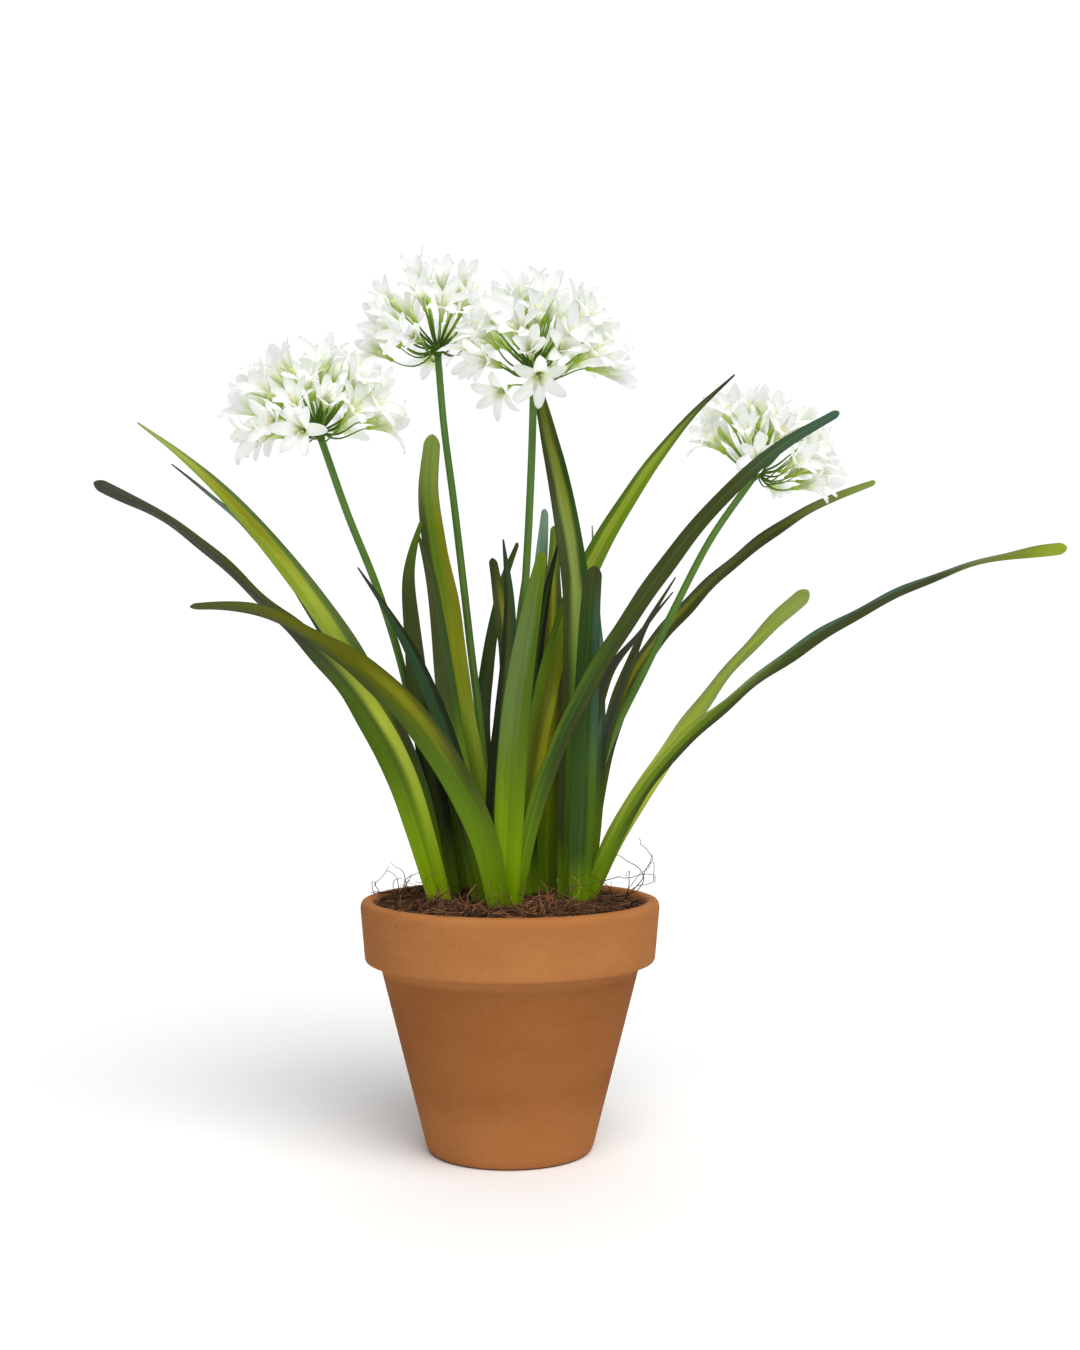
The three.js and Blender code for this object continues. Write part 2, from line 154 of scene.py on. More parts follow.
def scaled(tree, vector, x, y, z):
    inputs = {"Vector": vector, "Scale": (x, y, z)}
    return add_node(tree, "ShaderNodeMapping", inputs).outputs[0]


print("node helpers ready")

# %% Groups and materials
FLOAT, COLOUR, VECTOR = "NodeSocketFloat", "NodeSocketColor", "NodeSocketVector"
KINDS = {float: FLOAT, int: "NodeSocketInt", tuple: COLOUR}


def new_group(name, kind, inputs, outputs):
    """A node group with named sockets. Each is given by its type, or by a default value."""
    tree = bpy.data.node_groups.new(name, kind)
    for way, sockets in (("INPUT", inputs), ("OUTPUT", outputs)):
        for label, value in sockets.items():
            socket = KINDS.get(type(value), value)
            made = tree.interface.new_socket(label, in_out=way, socket_type=socket)
            if socket != value:
                made.default_value = value
    return tree, tree.nodes.new("NodeGroupInput").outputs, tree.nodes.new("NodeGroupOutput").inputs


def new_finish(name, roughness, **sockets):
    """A material with a Principled surface, its tree, and that surface's node."""
    finish = bpy.data.materials.new(name)
    finish.use_nodes = True
    surface = finish.node_tree.nodes["Principled BSDF"]
    surface.inputs["Roughness"].default_value = roughness
    for socket, value in sockets.items():
        surface.inputs[socket.replace("_", " ")].default_value = value
    return finish, finish.node_tree, surface


def cover(tree, surface, tone, height, distance):
    """Gives a surface its colour, and its fine relief from a height between 0 and 1."""
    tree.links.new(tone, surface.inputs["Base Color"])
    made = add_node(tree, "ShaderNodeBump", {"Height": height, "Distance": distance, "Strength": 1.0})
    tree.links.new(made.outputs[0], surface.inputs["Normal"])


def attribute(tree, name, output="Vector"):
    return add_node(tree, "ShaderNodeAttribute", attribute_name=name).outputs[output]


def object_place(tree):
    return add_node(tree, "ShaderNodeTexCoord").outputs["Object"]


def colour(hex_code):
    """A colour written as web designers do, turned to the linear values that shaders use."""
    parts = [int(hex_code[i : i + 2], 16) / 255 for i in (1, 3, 5)]
    line = [p / 12.92 if p <= 0.04045 else ((p + 0.055) / 1.055) ** 2.4 for p in parts]
    return (*line, 1.0)


print("a mid grey is", round(colour("#808080")[0], 3), "in a shader")

# %% [markdown]
# ## Studio
# A pale floor that runs to the horizon, a white surround that is dimmer to the left and the
# right, and one broad soft light from the front right. Three lamps would do as well, but the
# dim sides are what makes the round pot look round. The camera sees a plain white surround.

# %% Floor and light
FLOOR_SIZE = 80.0
FLOOR_DROP = 0.3 * MM  # keeps the floor clear of the pot's base
FLOOR_GREY = (0.9, 0.9, 0.9, 1)
SURROUND_SEEN, SURROUND_LIGHT = 1.05, 0.95  # how bright it is to the camera, and as a light
SURROUND_TINT = (0.98, 0.99, 1, 1)
SIDE_DIM = 0.95
DIM_FROM = 0.6  # the square of a direction's x from which the surround is dimmest
KEY_STRENGTH = 2.5
KEY_ANGLE = 50
KEY_TINT = (1.0, 0.985, 0.96)
KEY_FROM = Vector((0.5, -1.0, 1.4))


def link_new(name, data):
    piece = bpy.data.objects.new(name, data)
    bpy.context.scene.collection.objects.link(piece)
    return piece


def new_mesh(name, corners, edges, faces):
    mesh = bpy.data.meshes.new(name)
    mesh.from_pydata(corners, edges, faces)
    return mesh


def studio_floor():
    half = FLOOR_SIZE / 2
    corners = [(x * half, y * half, -FLOOR_DROP) for x, y in ((-1, -1), (1, -1), (1, 1), (-1, 1))]
    mesh = new_mesh("floor", corners, [], [(0, 1, 2, 3)])
    paint, _, _ = new_finish("floor_paint", 1.0, Base_Color=FLOOR_GREY, Specular_IOR_Level=0.0)
    mesh.materials.append(paint)
    return link_new("floor", mesh)


def studio_world():
    world = bpy.data.worlds.new("studio")
    world.use_nodes = True
    tree = world.node_tree
    seen = tree.nodes["Background"]
    seen.inputs["Strength"].default_value = SURROUND_SEEN
    seen.inputs["Color"].default_value = WHITE
    aside = parts_of(tree, add_node(tree, "ShaderNodeTexCoord").outputs["Generated"])[0]
    dimming = {0: times(tree, aside, aside), "From Max": DIM_FROM, "To Min": SURROUND_LIGHT,
               "To Max": SURROUND_LIGHT * (1 - SIDE_DIM)}
    strength = add_node(tree, "ShaderNodeMapRange", dimming).outputs[0]
    light = add_node(tree, "ShaderNodeBackground", {"Color": SURROUND_TINT, "Strength": strength})
    seen_directly = add_node(tree, "ShaderNodeLightPath").outputs["Is Camera Ray"]
    sides = {0: seen_directly, 1: light.outputs[0], 2: seen.outputs[0]}
    mix = add_node(tree, "ShaderNodeMixShader", sides)
    tree.links.new(mix.outputs[0], tree.nodes["World Output"].inputs["Surface"])
    return world


def key_light():
    light = bpy.data.lights.new("key", "SUN")
    light.energy = KEY_STRENGTH
    light.angle = math.radians(KEY_ANGLE)
    light.color = KEY_TINT
    lamp = link_new("key", light)
    lamp.rotation_euler = KEY_FROM.to_track_quat("Z", "Y").to_euler()


floor = studio_floor()
bpy.context.scene.world = studio_world()
key_light()
bpy.context.scene.view_settings.view_transform = "Standard"
print("studio: floor, surround and one soft light")

# %% [markdown]
# ## Two effects that several finishes share
# Living and fired surfaces are never one flat colour. Painted images could show that, but
# each piece would need its own and they blur close up. Two groups serve all pieces: `mottle`
# drifts a colour slowly towards a second one, and `streaks` draws fine lines along a
# direction, such as the veins of a leaf or the threads of a petal.

# %% Shared shader groups
CLOUD_EDGES = (0.35, 0.68)  # of the noise, where a patch of the second colour starts and is full
STREAK_CONTRAST = 4.0


def mottle_group():
    inputs = {"Vector": VECTOR, "Colour": WHITE, "Second Colour": WHITE, "Scale": 10.0,
              "Amount": 0.5}
    outputs = {"Colour": COLOUR, "Mask": FLOAT}
    tree, given, out = new_group("mottle", "ShaderNodeTree", inputs, outputs)
    cloud = noise_value(tree, given["Vector"], given["Scale"], 4.0, 0.6)
    mask = times(tree, rise(tree, cloud, *CLOUD_EDGES), given["Amount"])
    mixed = mix_colours(tree, mask, given["Colour"], given["Second Colour"])
    tree.links.new(mixed, out["Colour"])
    tree.links.new(mask, out["Mask"])
    return tree


def streaks_group():
    inputs = {"Vector": VECTOR, "Colour": WHITE, "Lines": 14.0, "Length": 4.0, "Amount": 0.15}
    outputs = {"Colour": COLOUR, "Height": FLOAT}
    tree, given, out = new_group("streaks", "ShaderNodeTree", inputs, outputs)
    across, along, third = parts_of(tree, given["Vector"])
    across, along = times(tree, across, given["Lines"]), times(tree, along, given["Length"])
    lines = noise_value(tree, vector_of(tree, across, along, third), 1.0, 2.0, 0.7)
    shade = times(tree, maths(tree, "SUBTRACT", lines, 0.5), given["Amount"])
    inputs = {0: shade, 1: STREAK_CONTRAST, 2: 1.0}
    shade = add_node(tree, "ShaderNodeMath", inputs, operation="MULTIPLY_ADD").outputs[0]
    tree.links.new(shaded(tree, given["Colour"], shade), out["Colour"])
    tree.links.new(lines, out["Height"])
    return tree


MOTTLE = mottle_group()
STREAKS = streaks_group()


def mottled(tree, vector, tone, second, scale, amount):
    """Places the mottle group, and gives its colour and its mask."""
    inputs = {"Vector": vector, "Colour": tone, "Second Colour": second, "Scale": scale,
              "Amount": amount}
    return add_node(tree, "ShaderNodeGroup", inputs, node_tree=MOTTLE).outputs


def streaked(tree, vector, tone, lines, length, amount):
    """Places the streaks group, and gives its colour and its height."""
    inputs = {"Vector": vector, "Colour": tone, "Lines": lines, "Length": length, "Amount": amount}
    return add_node(tree, "ShaderNodeGroup", inputs, node_tree=STREAKS).outputs


print("shared groups:", MOTTLE.name, "and", STREAKS.name)

# %% [markdown]
# ## Reading a piece's line out of the frame
# Leaves and stems already have their place in the frame, as plain solids made of rings. Their
# lines could be typed in again, but two copies of the same numbers drift apart. So the rings
# are read back: the lowest corner starts the first ring, and each further ring is one edge
# away from the last. They give the line, the width and the lie of the piece.

# %% Rings of a solid
MERGE = 1e-5


def rings_of(node, corners, start=None):
    """The rings of a frame node's corners, from its lowest corner or the one nearest start."""
    solid = bmesh.new()
    solid.from_mesh(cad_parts[node].data)
    bmesh.ops.remove_doubles(solid, verts=solid.verts, dist=MERGE)
    first = min(solid.verts, key=lambda v: (v.co - Vector(start)).length if start else v.co.z)
    ring = sorted(solid.verts, key=lambda v: (v.co - first.co).length)[:corners]
    rings, seen = [], set(ring)
    while ring:
        rings.append(np.array(sorted(v.co[:] for v in ring)))
        ring = {e.other_vert(v) for v in ring for e in v.link_edges} - seen
        seen |= ring
    solid.free()
    return rings


def unit(vectors):
    return vectors / np.linalg.norm(vectors, axis=-1, keepdims=True)


def distances(points):
    """How far along a line each of its points is."""
    steps = np.linalg.norm(np.diff(points, axis=0), axis=1)
    return np.concatenate([[0.0], np.cumsum(steps)])


def smooth(knots, values, at):
    """Values at new places on a smooth line through the given ones."""
    knots, values, at = np.asarray(knots), np.asarray(values, float), np.asarray(at)
    flat = values.reshape(len(knots), -1)
    slope = np.gradient(flat, knots, axis=0)
    i = np.clip(np.searchsorted(knots, at, side="right") - 1, 0, len(knots) - 2)
    step = (knots[i + 1] - knots[i])[:, None]
    t = (at - knots[i])[:, None] / step
    start = (2 * t**3 - 3 * t**2 + 1) * flat[i] + (t**3 - 2 * t**2 + t) * step * slope[i]
    end = (3 * t**2 - 2 * t**3) * flat[i + 1] + (t**3 - t**2) * step * slope[i + 1]
    return (start + end).reshape(len(at), *values.shape[1:])


print("a leaf has", len(rings_of("leaf_centre_front", 6)), "rings in the frame")

# %% [markdown]
# ## A skin over rings
# Leaves, stems, tubes, stalks and fibres are all one thing to a modeller: rings of points
# joined into a closed skin. A curve with a bevel would make the round ones, but not a flat
# leaf whose section changes. Writing the skin once serves both and keeps them watertight.
# Each point may carry a named vector, which the finishes read in place of a flat map.

# %% Skin over rings
def store(mesh, label, kind, values):
    """Stores a value for each point of a mesh under a name."""
    number = np.int32 if kind == "INT" else np.float32
    layer = mesh.attributes.new(label, kind, "POINT")
    field = "vector" if kind == "FLOAT_VECTOR" else "value"
    layer.data.foreach_set(field, np.asarray(values, number).ravel())


def outward(mesh, merge=0.0):
    """Turns each face of a closed mesh outwards, after points closer than merge become one."""
    solid = bmesh.new()
    solid.from_mesh(mesh)
    if merge:
        bmesh.ops.remove_doubles(solid, verts=solid.verts, dist=merge)
        bmesh.ops.dissolve_degenerate(solid, edges=solid.edges, dist=merge)
    bmesh.ops.recalc_face_normals(solid, faces=solid.faces)
    for face in solid.faces:
        face.smooth = True
    solid.to_mesh(mesh)
    solid.free()


def angles(sides):
    return np.arange(sides) / sides * 2 * math.pi


def circle(sides):
    """The corners of a round section, as (cosine, sine)."""
    return np.stack([np.cos(angles(sides)), np.sin(angles(sides))], 1)


def vectors(x, y, z):
    """Three arrays, or numbers, joined as the parts of an array of vectors."""
    return np.stack(np.broadcast_arrays(x, y, z), -1)


def skin_mesh(name, rings, label=None, values=None):
    """A closed mesh over rings shaped (number of rings, points in a ring, 3)."""
    count, around = rings.shape[:2]
    first = np.arange(count - 1)[:, None] * around
    lower, next_lower = first + np.arange(around), first + np.roll(np.arange(around), -1)
    walls = np.stack([lower, next_lower, next_lower + around, lower + around], -1)
    last = (count - 1) * around
    ends = [list(range(around))[::-1], list(range(last, last + around))]
    mesh = new_mesh(name, rings.reshape(-1, 3).tolist(), [], walls.reshape(-1, 4).tolist() + ends)
    if label:
        store(mesh, label, "FLOAT_VECTOR", values)
    outward(mesh)
    return mesh


def place_piece(name, mesh, finish, slot, *nodes):
    """Makes a piece of a mesh, hangs it on the root body, hides the frame nodes it stands for and
    prints its faces.
    """
    mesh.materials.clear()
    mesh.materials.append(finish)
    piece = link_new(name, mesh)
    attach(piece, "root")
    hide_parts(*nodes)
    print(f"{name}: {len(mesh.polygons)} faces")
    return piece


print("skins ready")

# %% [markdown]
# ## Leaf finish
# An agapanthus leaf is bright yellow-green where it leaves the bulb, darker along the blade,
# and often has one half lighter than the other, because the fold at the midrib turns the
# halves to different light. Old leaves have yellow patches. A painted picture would need one
# map for each leaf; one group that mixes a few named greens does it for all 28. It reads the
# point attribute `blade`: x runs from -1 to 1 across the leaf, y is the distance from the
# soil, z is 1 on the underside.

# %% Leaf colours
GREENS = {  # "root" and "bright" are for the foot of a leaf, "gold" is for its patch
    "charcoal": "#36382c", "ink": "#1c2610", "moss": "#3b451c", "forest": "#2f4a18",
    "pine": "#294228", "sea": "#41604a", "mist": "#66806c", "pale": "#7f9044",
    "olive": "#505306", "mustard": "#787a0a", "leaf": "#4e6814", "fresh": "#607c10",
    "lime": "#8c9e2e", "sage": "#62783a", "sun": "#a6b23a", "gold": "#8e8d14",
    # "bright" is a lighter root green for two leaves: painted light on their feet
    "root": "#688800", "bright": "#86a800",
}
NO_PATCH = (0.5, 0.0, 0.0)


def look(greens, patch=NO_PATCH, midline=0.0, reach=0.15, root="root", under="forest"):
    """A leaf's greens: left, middle and right below, the same above, and its tip. Then its
    gold patch (place along, place across, strength), how much lighter the midline is (or
    darker, below zero), how far up the root's colour reaches, and that and the underside's
    colour."""
    greens = [*greens.split(), root, under, "gold"]
    return [colour(GREENS[green]) for green in greens], (reach, *patch, midline)


LEAVES = {
    "left_long_dark": look("leaf leaf sun charcoal charcoal moss charcoal", midline=-0.2, reach=0.16,
                           root="bright"),
    "left_long_light": look("leaf leaf moss lime sun sage pale", (0.76, 0.0, 0.9), under="leaf"),
    "left_thin_back": look("mist sea moss mist mist charcoal charcoal", under="charcoal"),
    "left_blue": look("sea mist sea sea mist sea sea"),
    "left_drooping": look("leaf leaf moss moss olive olive moss", (0.48, 0.4, 0.5)),
    "left_upright": look("ink moss ink moss moss moss leaf", midline=0.1, reach=0.08),
    "left_low": look("forest moss ink forest moss ink moss"),
    "left_pointed": look("moss pine ink pine pine ink charcoal", reach=0.08),
    "left_mid": look("moss leaf fresh moss moss forest moss", reach=0.08),
    "left_tall": look("leaf fresh lime moss fresh mustard pale", (0.52, 0.0, 0.8), midline=-0.18),
    "centre_front": look("fresh fresh fresh sage sage leaf fresh", midline=-0.12, root="bright"),
    "centre_dark": look("ink moss pine ink moss pine pine", reach=0.07),
    "centre_olive": look("moss olive moss moss moss mustard moss", (0.85, 0.3, 0.7)),
    "centre_back": look("moss forest moss forest moss moss moss"),
    "centre_bright": look("leaf fresh leaf leaf olive olive olive"),
    "centre_leaning": look("ink charcoal ink ink moss ink ink", reach=0.06),
    "centre_wide": look("olive mustard olive olive mustard moss leaf", (0.6, 0.2, 0.6), midline=0.3),
    "centre_grey": look("moss leaf moss mist sea moss mist"),
    "right_long_light": look("leaf olive mustard leaf lime fresh charcoal", midline=-0.15),
    "right_long_dark": look("leaf forest moss moss moss moss sea", midline=0.4),
    "right_tall": look("moss leaf moss moss pale forest olive", (0.8, 0.2, 0.5), reach=0.07),
    "right_upright": look("forest forest leaf forest forest sea moss", midline=0.3, reach=0.05),
    "right_thin": look("moss pine ink mist mist sea mist"),
    "right_narrow": look("moss charcoal moss moss charcoal moss moss"),
    "right_pointed": look("moss charcoal moss charcoal charcoal moss charcoal"),
    "right_back": look("moss olive moss moss olive moss pale", (0.45, 0.0, 0.6)),
    "right_short_light": look("sun sun sun pale lime pale pale"),
    "right_long_low": look("lime fresh moss sea moss moss lime", reach=0.12, under="moss"),
}
print(len(LEAVES), "leaves,", len(GREENS), "greens")

# %% Leaf shader group
LEAF_SHADES = ("Low Left", "Low Middle", "Low Right", "High Left", "High Middle", "High Right",
               "Tip", "Root", "Underside", "Patch")
LEAF_NUMBERS = ("Length", "Root Reach", "Patch Along", "Patch Across", "Patch Amount", "Midline",
                "Seed")
SIDE_BLEND = (0.15, 0.6)  # from the midrib, where a side's tone starts and is full
LOW_TO_HIGH = (0.3, 0.62)  # of the length, where the lower tones give way to the upper ones
TIP_FROM = (0.78, 1.0)
PATCH_LONG, PATCH_WIDE = (0.02, 0.2), (0.1, 0.55)  # where a patch is full, and where it ends
MIDLINE_WIDE = (0.03, 0.2)
MARGIN_FROM, MARGIN_DARK = (0.85, 1.0), 0.2
ROOT_FADE, ROOT_SHOWS = (0.1, 1.0), 0.9
UNDERSIDE_SHOWS = 0.85
DRIFT = 0.8  # how far the tones wander across the leaf
FLECKS, FLECK_SHOWS, FLECK_TONE = (0.7, 0.75), 0.4, (0.02, 0.025, 0.01, 1)
CLOUD_TINT, CLOUD_DULL = (0.72, 0.78, 0.7, 1), 0.2
LEAF_ROUGHNESS = 0.42


def three_tones(tree, given, part, drift):
    """The left, middle and right tones of one part of a leaf, run into each other."""
    left, middle, right = (given[f"{part} {side}"] for side in ("Left", "Middle", "Right"))
    inner, outer = SIDE_BLEND
    tone = mix_colours(tree, rise(tree, drift, -outer, -inner), left, middle)
    return mix_colours(tree, rise(tree, drift, inner, outer), tone, right)


def leaf_tone(tree, given, across, metres, under, drift):
    """A leaf's colour from its greens, before the fine grain."""
    share = maths(tree, "DIVIDE", metres, given["Length"])
    low, high = (three_tones(tree, given, part, drift) for part in ("Low", "High"))
    tone = mix_colours(tree, rise(tree, share, *LOW_TO_HIGH), low, high)
    patch = times(tree, near(tree, share, given["Patch Along"], *PATCH_LONG),
                  near(tree, drift, given["Patch Across"], *PATCH_WIDE), given["Patch Amount"])
    tone = mix_colours(tree, patch, tone, given["Patch"])
    tone = mix_colours(tree, rise(tree, share, *TIP_FROM), tone, given["Tip"])
    tone = mix_colours(tree, times(tree, under, UNDERSIDE_SHOWS), tone, given["Underside"])
    root = fall(tree, maths(tree, "DIVIDE", metres, given["Root Reach"]), *ROOT_FADE)
    tone = mix_colours(tree, times(tree, root, ROOT_SHOWS), tone, given["Root"])
    midline = times(tree, near(tree, across, 0.0, *MIDLINE_WIDE), given["Midline"])
    margin = rise(tree, maths(tree, "ABSOLUTE", across), *MARGIN_FROM)
    shade = maths(tree, "ADD", 1.0, midline)
    return shaded(tree, tone, maths(tree, "SUBTRACT", shade, times(tree, margin, MARGIN_DARK)))


def leaf_blade_group():
    inputs = {**dict.fromkeys(LEAF_SHADES, WHITE), **dict.fromkeys(LEAF_NUMBERS, 0.5)}
    outputs = {"Colour": COLOUR, "Height": FLOAT, "Roughness": FLOAT}
    tree, given, out = new_group("leaf_blade", "ShaderNodeTree", inputs, outputs)
    blade = attribute(tree, "blade")
    across, metres, under = parts_of(tree, blade)
    seed = vector_of(tree, given["Seed"], given["Seed"], 0.0)
    shifted = add_node(tree, "ShaderNodeVectorMath", {0: blade, 1: seed}).outputs[0]
    drift = noise_value(tree, scaled(tree, shifted, 0.5, 8.0, 1.0), 1.0, 2.0)
    drift = times(tree, maths(tree, "SUBTRACT", drift, 0.5), DRIFT)
    drift = maths(tree, "ADD", drift, across)
    tone = leaf_tone(tree, given, across, metres, under, drift)

    darker = mix_colours(tree, 1.0, tone, CLOUD_TINT, "MULTIPLY")
    clouds = scaled(tree, shifted, 1.6, 14, 1)
    clouded, cloud = mottled(tree, clouds, tone, darker, scale=1.0, amount=0.5)
    flecks = rise(tree, noise_value(tree, scaled(tree, shifted, 5, 110, 1), 1.0, 2.0), *FLECKS)
    flecked = mix_colours(tree, times(tree, flecks, FLECK_SHOWS), clouded, FLECK_TONE)
    veined, veins = streaked(tree, shifted, flecked, lines=9.0, length=5.0, amount=0.14)
    rough = maths(tree, "ADD", times(tree, cloud, CLOUD_DULL), LEAF_ROUGHNESS)
    for socket, name in ((veined, "Colour"), (veins, "Height"), (rough, "Roughness")):
        tree.links.new(socket, out[name])
    return tree


LEAF_BLADE = leaf_blade_group()
print("leaf group has", len(LEAF_BLADE.nodes), "nodes")

# %% Leaf materials
VEIN_DEPTH = 0.15 * MM


def leaf_finish(name, length, seed, shades, numbers):
    finish, tree, surface = new_finish(name, 0.45, Specular_IOR_Level=0.1)
    inputs = {**dict(zip(LEAF_SHADES, shades)), **dict(zip(LEAF_NUMBERS, (length, *numbers, seed)))}
    blade = add_node(tree, "ShaderNodeGroup", inputs, node_tree=LEAF_BLADE).outputs
    cover(tree, surface, blade["Colour"], blade["Height"], VEIN_DEPTH)
    tree.links.new(blade["Roughness"], surface.inputs["Roughness"])
    return finish


print("leaf veins are", VEIN_DEPTH / MM, "mm deep")

# %% [markdown]
# ## Leaves
# A strap leaf is a long channel: a rounded fold at the midrib, thin margins that wander a
# little, and either a point or a rounded end. A bent flat plane would have no thickness, so
# each leaf is a closed skin. The frame's rings give the line, how it turns, and its width;
# the fine section and the rounded end are added here. Near the soil the leaves stand close
# together, so the margins wander only further out.

# %% Leaf shape
LEAF_CORNERS = 6
BLADE_STEP = 5 * MM
END_STEPS = 14
ACROSS = np.array([-1, -0.94, -0.74, -0.48, -0.22, 0, 0.22, 0.48, 0.74, 0.94, 1])
MIDRIB_THICK = 1.5 * MM
MARGIN_THICK = 0.35 * MM
SLIM_FROM = 4 * MM  # where the half width is less than this, the leaf gets thinner too
FOLD_ROUND = 0.16
BLUNT_RING = 3 * MM  # the last rings of a rounded end lie closer together than this
ROUND_SHARE = math.sqrt(1 - 0.96 * 0.75**2)  # of the width, a quarter of the way into the end
WAVE = 0.9 * MM
WAVES = (52, 87)  # radians to the metre, of the wave that tilts the leaf and of the margins'
WAVE_FROM = 90 * MM
WAVE_GROWS = 120 * MM
SOIL_DEPTH = 20 * MM


def leaf_lines(node):
    """The middle of the edges, the midrib, the way across and the half width, ring by ring."""
    rows = []
    previous = np.array([1.0, 0, 0])
    for ring in rings_of(node, LEAF_CORNERS):
        centre = ring.mean(0)
        across = np.linalg.svd(ring - centre)[2][0]
        across *= np.sign(across @ previous)
        order = ring[np.argsort(ring @ across)]
        left, midrib, right = order[:2].mean(0), order[2:4].mean(0), order[4:].mean(0)
        rows.append(((left + right) / 2, midrib, across, np.linalg.norm(right - left) / 2))
        previous = across
    return [np.array(column) for column in zip(*rows)]


def blade_stations(knots, halves):
    """Places along a leaf, closer together in its rounded end, and the half widths there."""
    total = knots[-1]
    keep = list(range(len(knots)))
    rounding = 2 * halves[-1]
    if total - knots[-2] < BLUNT_RING:
        rounding = 4 * (total - knots[-3])
        keep = keep[:-3] + keep[-1:]
        halves = halves.copy()
        halves[-1] = halves[-3] / ROUND_SHARE
    body = np.arange(0, total - rounding - BLADE_STEP / 2, BLADE_STEP)
    end = total - rounding * np.cos(np.linspace(0, math.pi / 2, END_STEPS))
    at = np.concatenate([body, end])
    past = np.clip((at - total + rounding) / rounding, 0, 1)
    outline = (1 - 0.995 * past**1.7) ** 0.62
    return at, smooth(knots[keep], halves[keep], at) * outline


def leaf_mesh(node, dice):
    edges, midribs, acrosses, halves = leaf_lines(node)
    knots = distances(midribs)
    at, half = blade_stations(knots, halves)
    edge, midrib = smooth(knots, edges, at), smooth(knots, midribs, at)
    across = unit(smooth(knots, acrosses, at))
    away = unit(np.cross(unit(np.gradient(midrib, at, axis=0)), across))

    u = ACROSS[None, :, None]
    span = half[:, None, None]
    fullness = np.minimum(1, span / halves.max())
    fold = 1 - (np.hypot(u, FOLD_ROUND) - FOLD_ROUND) / (math.hypot(1, FOLD_ROUND) - FOLD_ROUND)
    depth = ((midrib - edge) * away).sum(1)[:, None, None] * fullness * fold
    free = np.clip((at - WAVE_FROM) / WAVE_GROWS, 0, 1)[:, None, None]
    tilting, waving = (np.sin(at[:, None, None] * wave + dice.uniform(0, 6.28)) for wave in WAVES)
    wave = (tilting * u + waving * u**2) * WAVE * free * fullness
    line = edge[:, None] + across[:, None] * u * span + away[:, None] * (depth + wave)

    slim = np.minimum(1, span / SLIM_FROM)
    thick = (MIDRIB_THICK + (MARGIN_THICK - MIDRIB_THICK) * np.abs(u) ** 1.3) * slim / 2
    front, back = line - away[:, None] * thick, line + away[:, None] * thick
    rings = np.concatenate([front, back[:, ::-1]], 1)
    round_blade, under = np.concatenate([ACROSS, ACROSS[::-1]]), np.repeat([0.0, 1.0], len(ACROSS))
    blade = vectors(round_blade, (at - SOIL_DEPTH)[:, None], under)
    return skin_mesh(node, rings, "blade", blade), knots[-1] - SOIL_DEPTH


leaf_dice = random.Random(11)
for number, (name, (shades, numbers)) in enumerate(LEAVES.items()):
    node = f"leaf_{name}"
    mesh, length = leaf_mesh(node, leaf_dice)
    finish = leaf_finish(node, length, 3.7 * number, shades, numbers)
    place_piece(f"{node}_blade", mesh, finish, "leaf_green", node)

# %% [markdown]
# ## Flower stems
# A scape is a smooth leafless stem, a little thicker at the foot, with faint ribs. A plain
# cylinder would look turned on a lathe. This one follows the frame's line, takes its
# thickness from it ring by ring and has a section with five soft ribs. Its finish reads the
# attribute `grain`: a place round the stem in x and z, and the length along it in y.

# %% Stems
STEM_CORNERS = 8
STEM_SIDES = 20
STEM_STEP = 8 * MM
RIBS, RIB = 5, 0.03


def stem_line(node):
    """The centres and radii of a frame stem's rings."""
    rings = rings_of(node, STEM_CORNERS)
    centres = np.array([ring.mean(0) for ring in rings])
    radii = np.array([np.linalg.norm(r - c, axis=1).mean() for r, c in zip(rings, centres)])
    return centres, radii


def frames_along(line, at):
    """Two directions across a line at each point, turning as little as they can."""
    tangents = unit(np.gradient(line, at, axis=0))
    side = np.cross(tangents[0], [0, 1, 0])
    sides = []
    for tangent in tangents:
        side = side - tangent * (side @ tangent)
        side = side / np.linalg.norm(side)
        sides.append(side)
    sides = np.array(sides)
    return sides, np.cross(tangents, sides)


def tube_mesh(name, line, at, radii, sides, rib=0.0):
    """A closed tube round a line, with its grain."""
    one, two = frames_along(line, at)
    outline = circle(sides) * (1 + rib * np.cos(RIBS * angles(sides)))[:, None]
    spokes = one[:, None] * outline[None, :, :1] + two[:, None] * outline[None, :, 1:]
    x, y = circle(sides).T
    grain = vectors(x, at[:, None], y)
    return skin_mesh(name, line[:, None] + spokes * radii[:, None, None], "grain", grain)


def stem_finish():
    finish, tree, surface = new_finish("stem_skin", 0.42, Specular_IOR_Level=0.3)
    grain = attribute(tree, "grain")
    high = parts_of(tree, grain)[1]
    tone = mix_colours(tree, rise(tree, high, 0.03, 0.2), colour("#6c9010"), colour("#50721f"))
    tone = mix_colours(tree, rise(tree, high, 0.28, 0.48), tone, colour("#58802e"))
    clouds = scaled(tree, grain, 0.4, 22, 0.4)
    tone, _ = mottled(tree, clouds, tone, colour("#2c5219"), scale=1.0, amount=0.4)
    tone, ribs = streaked(tree, grain, tone, lines=5.0, length=7.0, amount=0.1)
    cover(tree, surface, tone, ribs, 0.3 * MM)
    return finish


STEM_SKIN = stem_finish()
for letter in "abcd":
    node = f"stem_{letter}"
    centres, radii = stem_line(node)
    knots = distances(centres)
    at = np.linspace(0, knots[-1], int(knots[-1] / STEM_STEP))
    line, thick = smooth(knots, centres, at), smooth(knots, radii, at)
    mesh = tube_mesh(node, line, at, thick, STEM_SIDES, RIB)
    place_piece(f"{node}_skin", mesh, STEM_SKIN, "stem_green", node)

